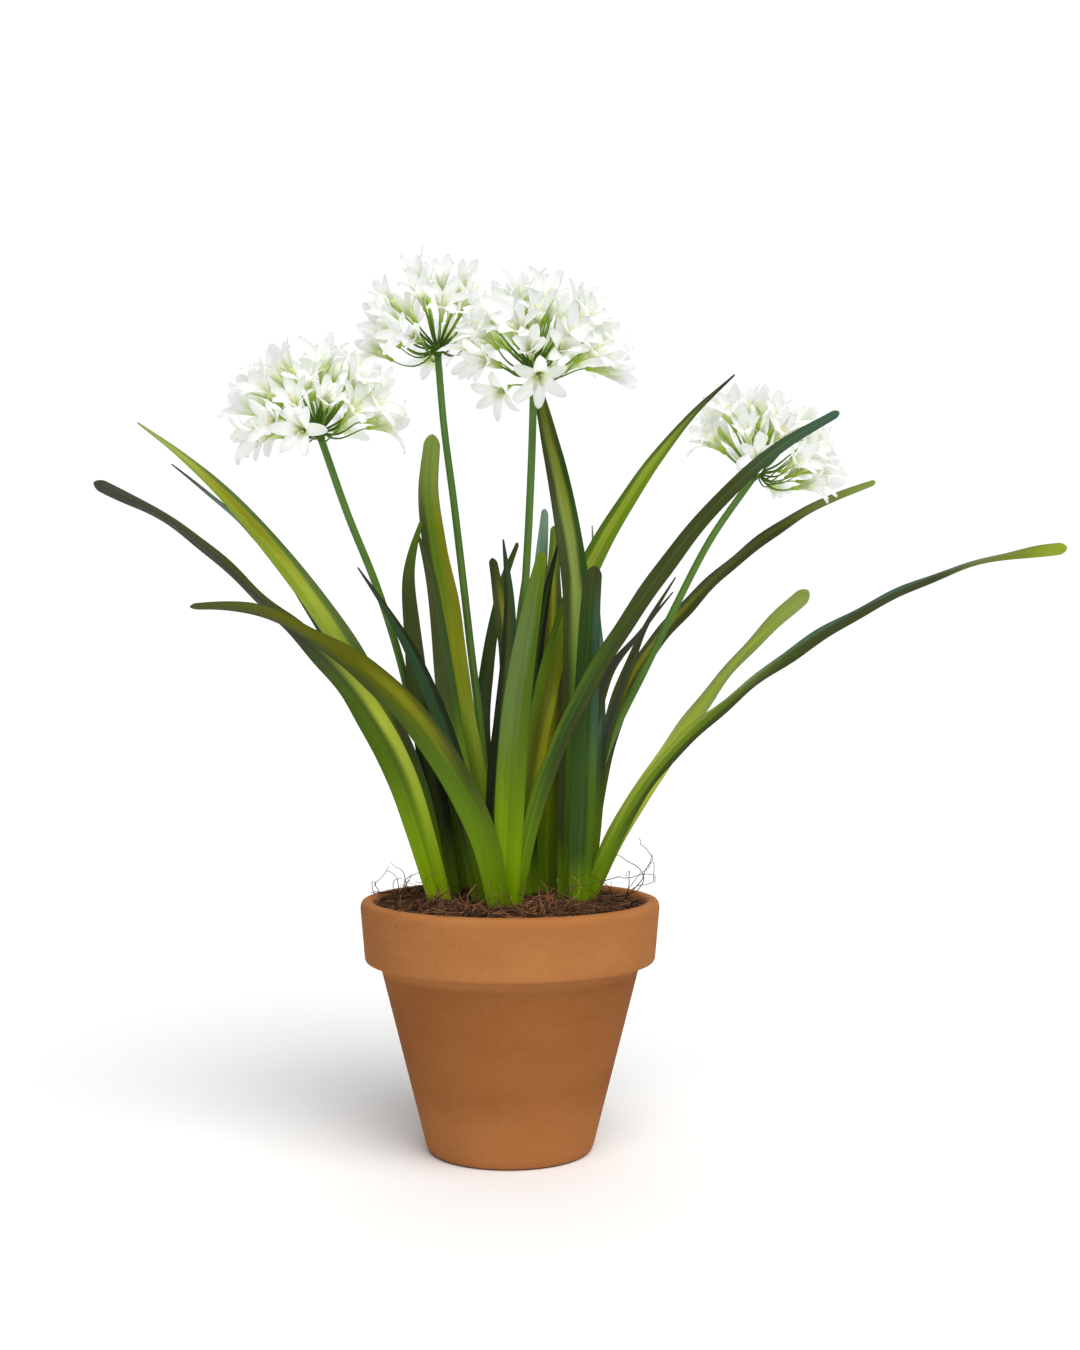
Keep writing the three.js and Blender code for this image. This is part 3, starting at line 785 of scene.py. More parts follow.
# %% [markdown]
# ## Where the florets sit
# An umbel is a dome of florets on stalks that all leave one hub. Plants space them by the
# golden angle, so each floret falls in the widest gap left by those before it. They could be
# placed by hand, one by one, but the rule is shorter and looks more natural. The frame's
# simple flower heads follow the same rule, so the fine florets land on them. No plant keeps
# a rule quite, so each head also has a few florets that hang or stand out in front.

# %% Floret places
GOLDEN_ANGLE = math.pi * (3 - math.sqrt(5))
HUB_ABOVE_STEM = 6.3 * MM
STALK = 43 * MM
SHORT_STALK = 0.84  # of a stalk's length, for every fourth floret
MOST_LIFT = 0.95  # how much the low florets turn up
LIFT_BELOW = 0.75  # florets that point up more steeply than this keep their way

# The way each dome faces, the angle from there down to its lowest florets in degrees, the
# number of florets, where their spiral starts, the least that they turn up, and a few more
# florets that break the rule.
HEADS = {
    "a": ((-0.1, -0.05, 1), 93, 28, 0.4, -0.35, [(-0.5, -0.85, 0.02), (-0.12, -1, -0.1)]),
    "b": ((-0.12, 0.12, 1), 95, 26, 1.7, -0.35, [(-0.27, -0.96, 0.0)]),
    "c": ((0.05, -0.2, 1), 92, 29, 2.9, -0.35,
          [(-0.43, -0.8, -0.42), (-0.22, -0.92, 0.4), (0.4, -0.92, 0.14)]),
    "d": ((0.52, 0.08, 1), 91, 28, 4.1, 0.15, [(-0.1, -1, 0.1)]),
}


def scatter(k, salt):
    """A repeatable number from 0 to 1 for floret k."""
    return math.sin(k * 12.9898 + salt * 78.233) * 43758.5453 % 1.0


def hub_of(letter):
    """The middle of a hub and the way its stem points."""
    centres, _ = stem_line(f"stem_{letter}")
    way = Vector(centres[-1] - centres[-2]).normalized()
    return Vector(centres[-1]) + way * HUB_ABOVE_STEM, way


def dome_way(facing, polar, turn):
    """A direction on a dome, from its angle off the dome's middle and its turn round it."""
    flat = math.sin(polar)
    tilt = UP.rotation_difference(Vector(facing))
    return tilt @ Vector((flat * math.cos(turn), flat * math.sin(turn), math.cos(polar)))


def floret_places(letter):
    """For each floret: its base, the way it points and its spin."""
    facing, lowest, count, start, least, more = HEADS[letter]
    drop = 1 - math.cos(math.radians(lowest))
    ways = []
    for k in range(count):
        turn = k * GOLDEN_ANGLE + start + 0.35 * (scatter(k, start) - 0.5)
        way = dome_way(facing, math.acos(1 - drop * (k + 0.6) / count), turn)
        lift = least + (MOST_LIFT - least) * scatter(k, start + 3)
        mouth = way + UP * lift * max(0.0, LIFT_BELOW - way.z)
        ways.append((way, mouth.normalized()))
    ways += [(Vector(way).normalized(), Vector(way).normalized()) for way in more]
    hub, _ = hub_of(letter)
    places = []
    for k, (way, mouth) in enumerate(ways):
        stalk = STALK * (0.94 + 0.14 * scatter(k, start + 1)) * (SHORT_STALK if k % 4 == 3 else 1)
        places.append((hub + way * stalk, mouth, 2 * math.pi * scatter(k, start + 2)))
    return places


PLACES = {letter: floret_places(letter) for letter in HEADS}
print(sum(map(len, PLACES.values())), "florets on", len(HEADS), "hubs")

# %% [markdown]
# ## Growing pieces with Geometry Nodes
# A flower head repeats a few shapes many times. A loop could place copies, but a tree that
# puts a shape on every point can be used again with other shapes. `stand_on_points` puts one
# of three shapes on each point, turned and sized by the point's own values.
# `stalk_along_line` turns a line of edges into a round stalk whose thickness is stored on
# the line, with a tone and a grain for its finish. Both end as plain faces.

# %% Trees for the flowers
OBJECT, MATERIAL = "NodeSocketObject", "NodeSocketMaterial"
SHAPES = ("First Shape", "Second Shape", "Third Shape")


def new_tree(name, inputs):
    """A tree that takes geometry, some values of its own and a finish, and gives geometry."""
    shape = {"Geometry": "NodeSocketGeometry"}
    return new_group(name, "GeometryNodeTree", {**shape, **inputs, "Finish": MATERIAL}, shape)


def named_value(tree, name, kind):
    node = add_node(tree, "GeometryNodeInputNamedAttribute", {"Name": name}, data_type=kind)
    return node.outputs["Attribute"]


def end_tree(tree, given, out, geometry):
    """Realize Instances, then Set Material, then out."""
    real = add_node(tree, "GeometryNodeRealizeInstances", {0: geometry})
    inputs = {"Geometry": real.outputs[0], "Material": given["Finish"]}
    coated = add_node(tree, "GeometryNodeSetMaterial", inputs)
    tree.links.new(coated.outputs[0], out["Geometry"])
    return tree


def stand(tree, given, points, turn, size, kind=None):
    """One of the three given shapes on each point, turned by Euler angles and sized."""
    shapes = tree.nodes.new("GeometryNodeJoinGeometry")
    for shape in SHAPES:
        info = add_node(tree, "GeometryNodeObjectInfo", {"Object": given[shape]})
        single = add_node(tree, "GeometryNodeGeometryToInstance", {0: info.outputs["Geometry"]})
        tree.links.new(single.outputs[0], shapes.inputs[0])
    rotation = add_node(tree, "FunctionNodeEulerToRotation", {0: turn}).outputs[0]
    inputs = {"Points": points, "Instance": shapes.outputs[0], "Pick Instance": True,
              "Rotation": rotation, "Scale": size}
    if kind:
        inputs["Instance Index"] = kind
    return add_node(tree, "GeometryNodeInstanceOnPoints", inputs).outputs[0]


def stand_on_points_tree():
    tree, given, out = new_tree("stand_on_points", {**dict.fromkeys(SHAPES, OBJECT), "Size": 1.0})
    size = times(tree, named_value(tree, "size", "FLOAT"), given["Size"])
    turn = named_value(tree, "turn", "FLOAT_VECTOR")
    kind = named_value(tree, "kind", "INT")
    stood = stand(tree, given, given["Geometry"], turn, size, kind)
    return end_tree(tree, given, out, stood)


def stalk_tree():
    tree, given, out = new_tree("stalk_along_line", {"Sides": 6, "Thickness": 1.0})
    line = add_node(tree, "GeometryNodeMeshToCurve", {0: given["Geometry"]})
    radius = times(tree, named_value(tree, "thick", "FLOAT"), given["Thickness"])
    inputs = {"Resolution": given["Sides"], "Radius": 1.0}
    section = add_node(tree, "GeometryNodeCurvePrimitiveCircle", inputs)
    inputs = {"Curve": line.outputs[0], "Profile Curve": section.outputs[0], "Scale": radius,
              "Fill Caps": True}
    stalk = add_node(tree, "GeometryNodeCurveToMesh", inputs)
    return end_tree(tree, given, out, stalk.outputs[0])


def grow(name, base, tree, finish, shapes=(), **values):
    """Runs a tree on a base mesh and gives the result as a plain mesh."""
    values = {name.replace("_", " "): value for name, value in values.items()}
    values |= {"Finish": finish, **dict(zip(SHAPES, shapes))}
    holder = link_new(name, base)
    modifier = holder.modifiers.new("grow", "NODES")
    modifier.node_group = tree
    for socket in tree.interface.items_tree:
        if socket.in_out == "INPUT" and socket.name in values:
            modifier[socket.identifier] = values[socket.name]
    graph = bpy.context.evaluated_depsgraph_get()
    made = bpy.data.meshes.new_from_object(holder.evaluated_get(graph), depsgraph=graph)
    bpy.data.objects.remove(holder)
    made.name = name
    return made


STAND_ON_POINTS = stand_on_points_tree()
STALK_ALONG_LINE = stalk_tree()
print("trees:", STAND_ON_POINTS.name, "and", STALK_ALONG_LINE.name)

# %% Points and lines for the trees
def points_mesh(name, points):
    """A mesh of loose points, each given as (place, rotation, size, kind)."""
    places, turns, sizes, kinds = zip(*points)
    mesh = new_mesh(name, [tuple(place) for place in places], [], [])
    store(mesh, "turn", "FLOAT_VECTOR", [tuple(turn.to_euler()) for turn in turns])
    store(mesh, "size", "FLOAT", sizes)
    store(mesh, "kind", "INT", kinds)
    return mesh


def lines_mesh(name, lines):
    """A mesh of edge lines, each given as (points, radii, tone)."""
    places, radii, tones, grains, edges = [], [], [], [], []
    for points, widths, tone in lines:
        first = len(places)
        places += [tuple(p) for p in points]
        radii += list(widths)
        tones += [tone] * len(points)
        grains += [(tone, share, 0) for share in np.linspace(0, 1, len(points))]
        edges += [(i, i + 1) for i in range(first, len(places) - 1)]
    mesh = new_mesh(name, places, edges, [])
    store(mesh, "thick", "FLOAT", radii)
    store(mesh, "tone", "FLOAT", tones)
    store(mesh, "grain", "FLOAT_VECTOR", grains)
    return mesh


def three(name, make, choices):
    """Three shapes for the trees to copy. They aren't in the scene, so they aren't pieces."""
    names = [f"{name}_{i}" for i in range(len(choices))]
    return [bpy.data.objects.new(label, make(label, choice)) for label, choice in zip(names, choices)]


print("points and lines ready")

# %% [markdown]
# ## The petal
# A floret is a funnel that splits into six petals. They are widest past the middle, end in
# a soft point and are cupped across. A flat card with a picture of a petal would look thin
# from the side, so each petal is two faces, a little plump between them, that meet all
# round the edge. Three shapes that bend out less or more make half-open and wide florets.
# The attribute `petal` holds the place across and along, for the green throat, and z is 1
# on the outside.

# %% Petal shape
PETAL_LENGTH = 37.5 * MM
PETAL_HALF = 5.6 * MM
PETAL_ROOT = (1.9 * MM, 9 * MM)  # out from the floret's axis, and up from its base
PETAL_STEPS, PETAL_LANES = 9, 4
PETAL_PLUMP = 0.25 * MM
PETAL_WIDEST = 0.58  # of the way along
FUNNEL_LEAN = 6  # degrees, where the petals still form the funnel
PETAL_BENDS = ((27, 0.6), (52, -0.8), (76, 1.0))  # degrees, and how the petal is twisted in mm


def petal_line(bend):
    """Along a petal's middle: the share of its length, the lean, and the way out and up."""
    along = 1 - (1 - np.linspace(0, 1, PETAL_STEPS + 1)) ** 1.35
    lean = np.radians(FUNNEL_LEAN + (bend - FUNNEL_LEAN) * np.sin(along * math.pi / 2) ** 1.6)
    middle = (lean[:-1] + lean[1:]) / 2
    step = PETAL_LENGTH * np.diff(along)
    out = PETAL_ROOT[0] + np.concatenate([[0], np.cumsum(np.sin(middle) * step)])
    up = PETAL_ROOT[1] + np.concatenate([[0], np.cumsum(np.cos(middle) * step)])
    return along, lean, out, up


def petal_mesh(name, form):
    bend, twist = form
    along, lean, out, up = petal_line(bend)
    opening = np.sin(np.clip(along / PETAL_WIDEST, 0, 1) * math.pi / 2) ** 1.4
    closing = np.clip((along - PETAL_WIDEST) / (1 - PETAL_WIDEST), 0, 1)
    half = PETAL_HALF * (0.32 + 0.68 * opening)
    half *= np.sqrt(np.clip(1 - closing**2, 0.004, 1))

    u = np.linspace(-1, 1, PETAL_LANES + 1)[None, :]
    along, lean, out, up, half = (row[:, None] for row in (along, lean, out, up, half))
    cup = half * (0.34 - 0.2 * along) * u**2 + twist * MM * u * along
    sides = []
    for side in (1, -1):
        inward = cup + side * PETAL_PLUMP * (1 - u**2) * (1 - along**4)
        sides.append(vectors(out - inward * np.cos(lean), u * half, up + inward * np.sin(lean)))
    count, lanes = half.shape[0], u.shape[1]
    corner = (np.arange(count - 1)[:, None] * lanes + np.arange(lanes - 1)).ravel()
    quads = np.stack([corner, corner + 1, corner + lanes + 1, corner + lanes], 1)
    faces = np.concatenate([quads, quads + count * lanes]).tolist()
    mesh = new_mesh(name, np.concatenate(sides).reshape(-1, 3).tolist(), [], faces)
    store(mesh, "petal", "FLOAT_VECTOR", [vectors(u, along, outside) for outside in (0.0, 1.0)])
    close_petal(mesh)
    return mesh


def close_petal(mesh):
    """Joins the two faces of a petal, turns them outwards and keeps the edge crisp."""
    solid = bmesh.new()
    solid.from_mesh(mesh)
    rim = [v for v in solid.verts if v.is_boundary]
    bmesh.ops.remove_doubles(solid, verts=rim, dist=0.15 * MM)
    holes = [e for e in solid.edges if e.is_boundary]
    bmesh.ops.holes_fill(solid, edges=holes)
    bmesh.ops.recalc_face_normals(solid, faces=solid.faces)
    for face in solid.faces:
        face.smooth = True
    for edge in solid.edges:
        edge.smooth = edge.calc_face_angle(0) < math.radians(100)
    solid.to_mesh(mesh)
    solid.free()


PETAL_SHAPES = three("petal", petal_mesh, PETAL_BENDS)
print([len(shape.data.polygons) for shape in PETAL_SHAPES], "faces in the petal shapes")

# %% [markdown]
# ## Tubes, stamens and buds
# Under its petals a floret is a short green tube. Out of its mouth come six thin stamens with
# a grain of pollen each, and one longer style. Closed buds stand between the florets. They
# could be sculpted, but at this size nobody would see it: each is an outline turned round
# its axis, or a thin thread along a curve, in three forms that differ a little.

# %% Tube, stamen and bud shapes
TUBE_OUTSIDE = [(0, 0), (1.5, 0.2), (2.0, 2.0), (1.8, 5), (2.5, 10), (3.7, 15), (4.7, 18.5)]
TUBE_INSIDE = [(4.3, 18.5), (2.2, 12), (0, 9)]
BUD_OUTSIDE = [(0, 0), (1.4, 0.4), (1.8, 3), (2.3, 8), (3.3, 14), (3.4, 18), (2.3, 22), (0.9, 24),
               (0, 24.5)]
ANTHER_OUTSIDE = [(0, -1.3), (0.6, -0.7), (0.65, 0.3), (0.4, 0.9), (0, 1.3)]
ANTHER_TILT = 40
STAMEN_ENDS = [(3.0, 28), (4.6, 31), (3.6, 25)]
STYLE_ENDS = [(5.0, 39), (8.5, 37), (2.5, 36)]
FILAMENT_THICK, STYLE_THICK = 0.4 * MM, 0.3 * MM
THREAD_SIDES, TUBE_SIDES, ANTHER_SIDES = 4, 9, 6


def turned_mesh(name, profile, sides, lean=0.0):
    """A profile of (radius, height) in millimetres turned round the axis, leaning a little."""
    radius, height = np.array(profile).T[..., None]
    x, y = circle(sides).T
    aside = lean * (height / 10) ** 2
    rings = vectors(radius * x + aside, radius * y, height) * MM
    mesh = skin_mesh(name, rings, "grain", vectors(x, height / height.max(), y))
    outward(mesh, 0.01 * MM)
    return mesh


def put_at(mesh, turn, place):
    for vertex in mesh.vertices:
        vertex.co = turn @ vertex.co + place
    return mesh


def thread_line(out, up):
    """A stamen or style: straight up the throat, then leaning out."""
    points = [(0.5, 8), (0.9, 14), (0.4 * out + 0.8, 0.72 * up), (0.75 * out, 0.9 * up), (out, up)]
    return np.array([(x, 0, z) for x, z in points], float) * MM


def thread_mesh(name, end, thick):
    line = thread_line(*end)
    return tube_mesh(name, line, distances(line), np.full(len(line), thick), THREAD_SIDES)


def anther_mesh(name, end):
    tip = Vector(thread_line(*end)[-1])
    turn = Quaternion((0, 1, 0), math.radians(ANTHER_TILT))
    return put_at(turned_mesh(name, ANTHER_OUTSIDE, ANTHER_SIDES), turn, tip)


def turned(profile):
    return lambda name, lean: turned_mesh(name, profile, TUBE_SIDES, lean)


def thread(thick):
    return lambda name, end: thread_mesh(name, end, thick)


TUBES = three("tube", turned(TUBE_OUTSIDE + TUBE_INSIDE), (0.0, 0.25, -0.2))
FILAMENTS = three("filament", thread(FILAMENT_THICK), STAMEN_ENDS)
STYLES = three("style", thread(STYLE_THICK), STYLE_ENDS)
ANTHERS = three("anther", anther_mesh, STAMEN_ENDS)
BUDS = three("bud", turned(BUD_OUTSIDE), (0.0, 0.5, -0.6))
print("tube", len(TUBES[0].data.polygons), "faces, bud", len(BUDS[0].data.polygons))

# %% [markdown]
# ## Flower finishes
# The petals are white, with faint threads along their length and a yellow-green throat.
# Thin petals let light through. A translucent sheet would show that, but most programs
# don't load one. Scattering under the surface and a very faint glow of the petal's own
# colour stand in for it. Tubes and buds run from green at the base to cream, so they share
# one finish that is given its two colours. Anthers are warm yellow.

# %% Flower materials
def petal_finish():
    finish, tree, surface = new_finish(
        "petal", 0.6, Specular_IOR_Level=0.2, Emission_Strength=0.09, Subsurface_Weight=0.9,
        Subsurface_Radius=(1.0, 1.0, 0.9), Subsurface_Scale=6 * MM)
    petal = attribute(tree, "petal")
    across, along, outside = parts_of(tree, petal)
    tone, _ = mottled(tree, object_place(tree), colour("#f9fafa"), colour("#ebeef4"), scale=60.0,
                      amount=0.8)
    throat = times(tree, fall(tree, along, 0.12, 0.55), 0.85)
    tone = mix_colours(tree, throat, tone, colour("#d6e48c"))
    keel = times(tree, fall(tree, along, 0.3, 0.95), near(tree, across, 0.0, 0.1, 0.95))
    tone = mix_colours(tree, times(tree, keel, outside, 0.9), tone, colour("#cfdf92"))
    tone, threads = streaked(tree, petal, tone, lines=6.0, length=1.6, amount=0.03)
    cover(tree, surface, tone, threads, 0.2 * MM)
    tree.links.new(tone, surface.inputs["Emission Color"])
    return finish


def grown_finish(name, low, high, dark, reach=(0.1, 0.95), roughness=0.5):
    """A finish that runs from one colour at the base to another at the end."""
    finish, tree, surface = new_finish(name, roughness, Specular_IOR_Level=0.2)
    grain = attribute(tree, "grain")
    along = parts_of(tree, grain)[1]
    tone = mix_colours(tree, rise(tree, along, *reach), colour(low), colour(high))
    tone, _ = mottled(tree, object_place(tree), tone, colour(dark), scale=70.0, amount=0.4)
    tone, threads = streaked(tree, grain, tone, lines=4.0, length=1.5, amount=0.06)
    cover(tree, surface, tone, threads, 0.15 * MM)
    return finish


PETAL = petal_finish()
TUBE = grown_finish("floret_tube", "#93b42c", "#e3ebab", "#9cc034")
BUD = grown_finish("bud_skin", "#8fb52a", "#f8f9f0", "#c4d98a", (0.2, 0.6))
STALK_SKIN = grown_finish("stalk_skin", "#46660f", "#8cb03c", "#3c580f", (0.3, 1.0))
THREAD = grown_finish("stamen_thread", "#e9efc9", "#fbfbf2", "#eef2dc")
POLLEN = grown_finish("anther", "#f6dc94", "#fbe9be", "#f0cc78", roughness=0.8)
print("flower finishes ready")

# %% [markdown]
# ## Flower heads
# Each floret gets six petals round its axis, a tube, six stamens, a style and a stalk. The
# stalks of low florets leave the hub sideways and sweep up to them, like the ribs of a
# basket. A few closed buds fill gaps in the dome. Every floret could be an object of its own,
# but one mesh for all petals of a head is lighter.

# %% Points of one flower head
BUD_COUNT = 8
SWEEP = 1.25
BOW = 5 * MM  # how far a stalk may bend to the side
STALK_STEPS = 9


def axis_turn(points, spin):
    return UP.rotation_difference(points) @ Quaternion(UP, spin)


def head_points(letter, dice):
    """The points that petals, tubes, stamens and styles stand on."""
    petals, tubes, stamens, styles = [], [], [], []
    for base, points, spin in PLACES[letter]:
        openness = dice.choice((0, 0, 1, 1, 1, 2))
        size = dice.uniform(0.94, 1.06)
        tubes.append((base, axis_turn(points, spin), size, dice.randrange(3)))
        styles.append((base, axis_turn(points, dice.uniform(0, 6)), size, dice.randrange(3)))
        for p in range(6):
            kind = min(2, max(0, openness + dice.choice((-1, 0, 0, 0, 0, 1))))
            turn = axis_turn(points, spin + p * math.pi / 3 + dice.uniform(-0.09, 0.09))
            lean = Quaternion((0, 1, 0), math.radians(dice.uniform(-4, 5)))
            reach = size * (0.93 if p % 2 else 1.03) * dice.uniform(0.95, 1.05)
            petals.append((base, turn @ lean, reach, kind))
            turn = axis_turn(points, spin + (p + 0.5) * math.pi / 3 + dice.uniform(-0.3, 0.3))
            stamens.append((base, turn, size * dice.uniform(0.85, 1.08), dice.randrange(3)))
    return petals, tubes, stamens, styles


def stalk_line(hub, base, points, dice):
    """A stalk from the hub to a floret's base, its radii and its tone."""
    spoke = (base - hub).normalized()
    high = max(0.0, spoke.z)
    leaving = (spoke - UP * SWEEP * (1 - high) * (1 - high)).normalized()
    reach = (base - hub).length
    start = hub + spoke * 3 * MM
    end = base + points * MM
    a, b = start + leaving * reach * 0.5, base - points * reach * 0.3
    side = spoke.cross(UP).normalized() * BOW
    a, b = a + side * dice.uniform(-0.5, 0.5), b + side * dice.uniform(-1, 1)
    line = []
    for t in np.linspace(0, 1, STALK_STEPS):
        s = 1 - t
        line.append(start * s**3 + a * 3 * s * s * t + b * 3 * s * t * t + end * t**3)
    foot, top = 0.85 + 0.75 * high, 0.6 + 0.3 * high  # the upright stalks are the thick ones
    return line, np.linspace(foot, top, STALK_STEPS) * MM, dice.random()


def bud_places(letter, dice):
    hub, _ = hub_of(letter)
    places = []
    for k in range(BUD_COUNT):
        polar = math.radians(dice.uniform(15, 92))
        turn = (k + dice.random()) / BUD_COUNT * 2 * math.pi
        spoke = dome_way(HEADS[letter][0], polar, turn)
        places.append((hub + spoke * dice.uniform(34, 44) * MM, spoke))
    return places


print("one head has", len(PLACES["a"]) * 6, "petals")

# %% Grow the flower heads
HUB_OUTSIDE = [(0, -7), (3.6, -6.6), (4.2, -4), (6.2, -1), (5.8, 2.2), (3.8, 4.6), (0, 5.6)]


def grow_head(letter):
    dice = random.Random(f"head {letter}")
    petals, tubes, stamens, styles = head_points(letter, dice)
    hub, way = hub_of(letter)
    buds = bud_places(letter, dice)
    bud_points = [(base, axis_turn(points, k), dice.uniform(0.75, 1.05), k % 3)
                  for k, (base, points) in enumerate(buds)]
    sets = {
        "petals": (petals, PETAL_SHAPES, PETAL),
        "tubes": (tubes, TUBES, TUBE),
        "threads": (stamens, FILAMENTS, THREAD),
        "styles": (styles, STYLES, THREAD),
        "anthers": (stamens, ANTHERS, POLLEN),
        "buds": (bud_points, BUDS, BUD),
    }
    node = f"flower_head_{letter}"
    for part, (points, shapes, finish) in sets.items():
        base = points_mesh(part, points)
        mesh = grow(f"{part}_{letter}", base, STAND_ON_POINTS, finish, shapes, Size=1.0)
        place_piece(f"{node}_{part}", mesh, finish, "petal_white", node)
    ends = [(base, points) for base, points, _ in PLACES[letter]] + buds
    lines = lines_mesh("stalks", [stalk_line(hub, base, points, dice) for base, points in ends])
    mesh = grow(f"stalks_{letter}", lines, STALK_ALONG_LINE, STALK_SKIN, Sides=7, Thickness=1.0)
    mesh.shade_smooth()
    place_piece(f"{node}_stalks", mesh, STALK_SKIN, "stem_green", node)
    core = put_at(turned_mesh(f"hub_{letter}", HUB_OUTSIDE, 24), UP.rotation_difference(way), hub)
    place_piece(f"{node}_hub", core, STALK_SKIN, "stem_green", node)


for letter in HEADS:
    grow_head(letter)

# %% [markdown]
# ## Terracotta pot
# A plain pot of red clay with a stepped band and a rounded rim. It could be built of stacked
# cylinders, but then every corner would be sharp. So it is turned from one outline: the
# frame's pot gives the corners, each is rounded, and the outline goes round in many more
# steps. Fired clay is matte, with slow patches of lighter and darker red-brown, fine grains
# and faint turning marks; painted shade darkens it between the band and the foot.

# %% Pot
POT_SIDES = 160
CORNER, CORNER_STEPS = 1.6 * MM, 4
LONGEST_STEP = 9 * MM
# Painted shade: a darker tint for the clay between the band and the foot, fading out near the foot
BODY_SHADE_TINT = (0.76, 0.7, 0.63, 1)
BODY_SHADE_FROM, BODY_SHADE_TO = (0.012, 0.07), (0.158, 0.166)  # the heights where the dark part fades


def pot_outline():
    """The pot's outline as (radius, height), from the middle of the base to that of the floor."""
    rings = rings_of("pot", 1, start=(0, 0, 0))
    return [(math.hypot(*ring[0][:2]), ring[0][2]) for ring in rings]


def rounded(outline):
    """The outline with each corner replaced by a short curve."""
    points = [Vector(p) for p in outline]
    done = [points[0]]
    for before, corner, after in zip(points, points[1:], points[2:]):
        a, b = (corner + (end - corner).normalized() * min(CORNER, 0.45 * (end - corner).length)
                for end in (before, after))
        done += [a * (1 - t) ** 2 + corner * 2 * t * (1 - t) + b * t * t
                 for t in np.linspace(0, 1, CORNER_STEPS)]
    return done + [points[-1]]


def divided(outline):
    """The outline with its long straight stretches divided."""
    done = [outline[0]]
    for point in outline[1:]:
        start = done[-1]
        pieces = max(1, math.ceil((point - start).length / LONGEST_STEP))
        done += [start.lerp(point, (i + 1) / pieces) for i in range(pieces)]
    return done


def pot_mesh():
    outline = divided(rounded(pot_outline()))
    rings = [[(*(spoke * r), z) for spoke in circle(POT_SIDES)] for r, z in outline[1:-1]]
    return skin_mesh("pot", np.array(rings))


def terracotta_finish():
    finish, tree, surface = new_finish("terracotta", 0.8, Specular_IOR_Level=0.06)
    place = object_place(tree)
    clouds = scaled(tree, place, 1, 1, 2.2)
    tone, _ = mottled(tree, clouds, colour("#ad7343"), colour("#9a6134"), scale=7.0, amount=0.55)
    tone, _ = mottled(tree, place, tone, colour("#8a5426"), scale=420.0, amount=0.22)
    # Painted shade: the body under the band is darkened, as in the band's shadow, less so near the
    # foot
    high = parts_of(tree, place)[2]
    body = times(tree, rise(tree, high, *BODY_SHADE_FROM), fall(tree, high, *BODY_SHADE_TO))
    tone = mix_colours(tree, body, tone, mix_colours(tree, 1.0, tone, BODY_SHADE_TINT, "MULTIPLY"))
    turning = times(tree, noise_value(tree, scaled(tree, place, 0.6, 0.6, 260), 1.0, 2.0), 0.6)
    grains = times(tree, noise_value(tree, place, 900.0, 2.0), 0.5)
    cover(tree, surface, tone, maths(tree, "ADD", turning, grains), 0.12 * MM)
    return finish


place_piece("pot_clay", pot_mesh(), terracotta_finish(), "terracotta", "pot")

# %% [markdown]
# ## Soil
# Potting mix with coconut fibre: dark, lumpy and a little under the rim. A flat disc with a
# strong bump would give itself away at its edge, where it meets the pot. So the lumps are
# real: three sizes of noise on a disc that follows the frame's soil. It is closed
# underneath, down to the pot's floor.

# %% Soil surface
SOIL_RINGS, SOIL_SIDES = 70, 220
LUMPS = ((38, 2.2), (110, 1.4), (300, 0.8))  # how many to the metre, and their height in mm
WALL_GAP = 0.4 * MM
SOIL_TOP_FROM = 212 * MM  # the frame's soil has only its upper corners above this
SOIL_EDGE = 214 * MM  # the height where the soil meets the pot's wall
SOIL_SIDE = 210 * MM  # the height from which the soil's side runs down
WALL_FROM = 60 * MM  # the radius beyond which a corner belongs to the pot's inner wall

soil_corners = np.array([v.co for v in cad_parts["soil"].data.vertices])
SOIL_TOP = soil_corners[soil_corners[:, 2] > SOIL_TOP_FROM]


def soil_height(x, y):
    """The height of the frame's soil at a place, from its upper corners, the nearest most."""
    away = np.hypot(SOIL_TOP[:, 0] - x, SOIL_TOP[:, 1] - y) + 4 * MM
    weight = away**-3
    return float((SOIL_TOP[:, 2] * weight).sum() / weight.sum())


def lumps(x, y):
    return sum(high * MM * noise.noise(Vector((x * size, y * size, size))) for size, high in LUMPS)


def pot_inside(height):
    """The pot's inner radius at a height."""
    inner = sorted((z, r) for r, z in pot_outline()[-6:] if r > WALL_FROM)
    return float(np.interp(height, *zip(*inner)))


def soil_mesh():
    edge = pot_inside(SOIL_EDGE) - WALL_GAP
    spokes = circle(SOIL_SIDES)
    rings = []
    for share in np.linspace(0.004, 1, SOIL_RINGS):
        rings.append([(x, y, soil_height(x, y) + lumps(x, y)) for x, y in spokes * (edge * share)])
    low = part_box("soil")[0].z
    foot = pot_inside(low + 3 * MM) - WALL_GAP
    for share in (0.5, 1.0):
        z = SOIL_SIDE + (low - SOIL_SIDE) * share
        rings.append([(x, y, z) for x, y in spokes * (edge + (foot - edge) * share)])
    return skin_mesh("soil", np.array(rings))


def soil_finish():
    finish, tree, surface = new_finish("soil", 0.95, Specular_IOR_Level=0.15)
    place = object_place(tree)
    tone, _ = mottled(tree, place, colour("#1b0e08"), colour("#3e2718"), scale=160.0, amount=0.8)
    cover(tree, surface, tone, noise_value(tree, place, 700.0, 4.0), 0.8 * MM)
    return finish


soil = place_piece("soil_bed", soil_mesh(), soil_finish(), "soil", "soil")

# %% [markdown]
# ## Fibre and crumbs
# Short fibres lie every way on the soil, with crumbs of bark and peat between them. Hair
# could make the fibres, but it isn't a mesh and would be lost when the model is saved for
# other programs. So one tree strews real shapes: points on the upper faces, a shape picked
# for each, turned and sized at random from a fixed seed. Each copy keeps a random number
# called `tone`, so that no two fibres need the same brown.

# %% Tree for strewn pieces
UPPER = 0.3  # the least z of the normal of a face that catches fibre


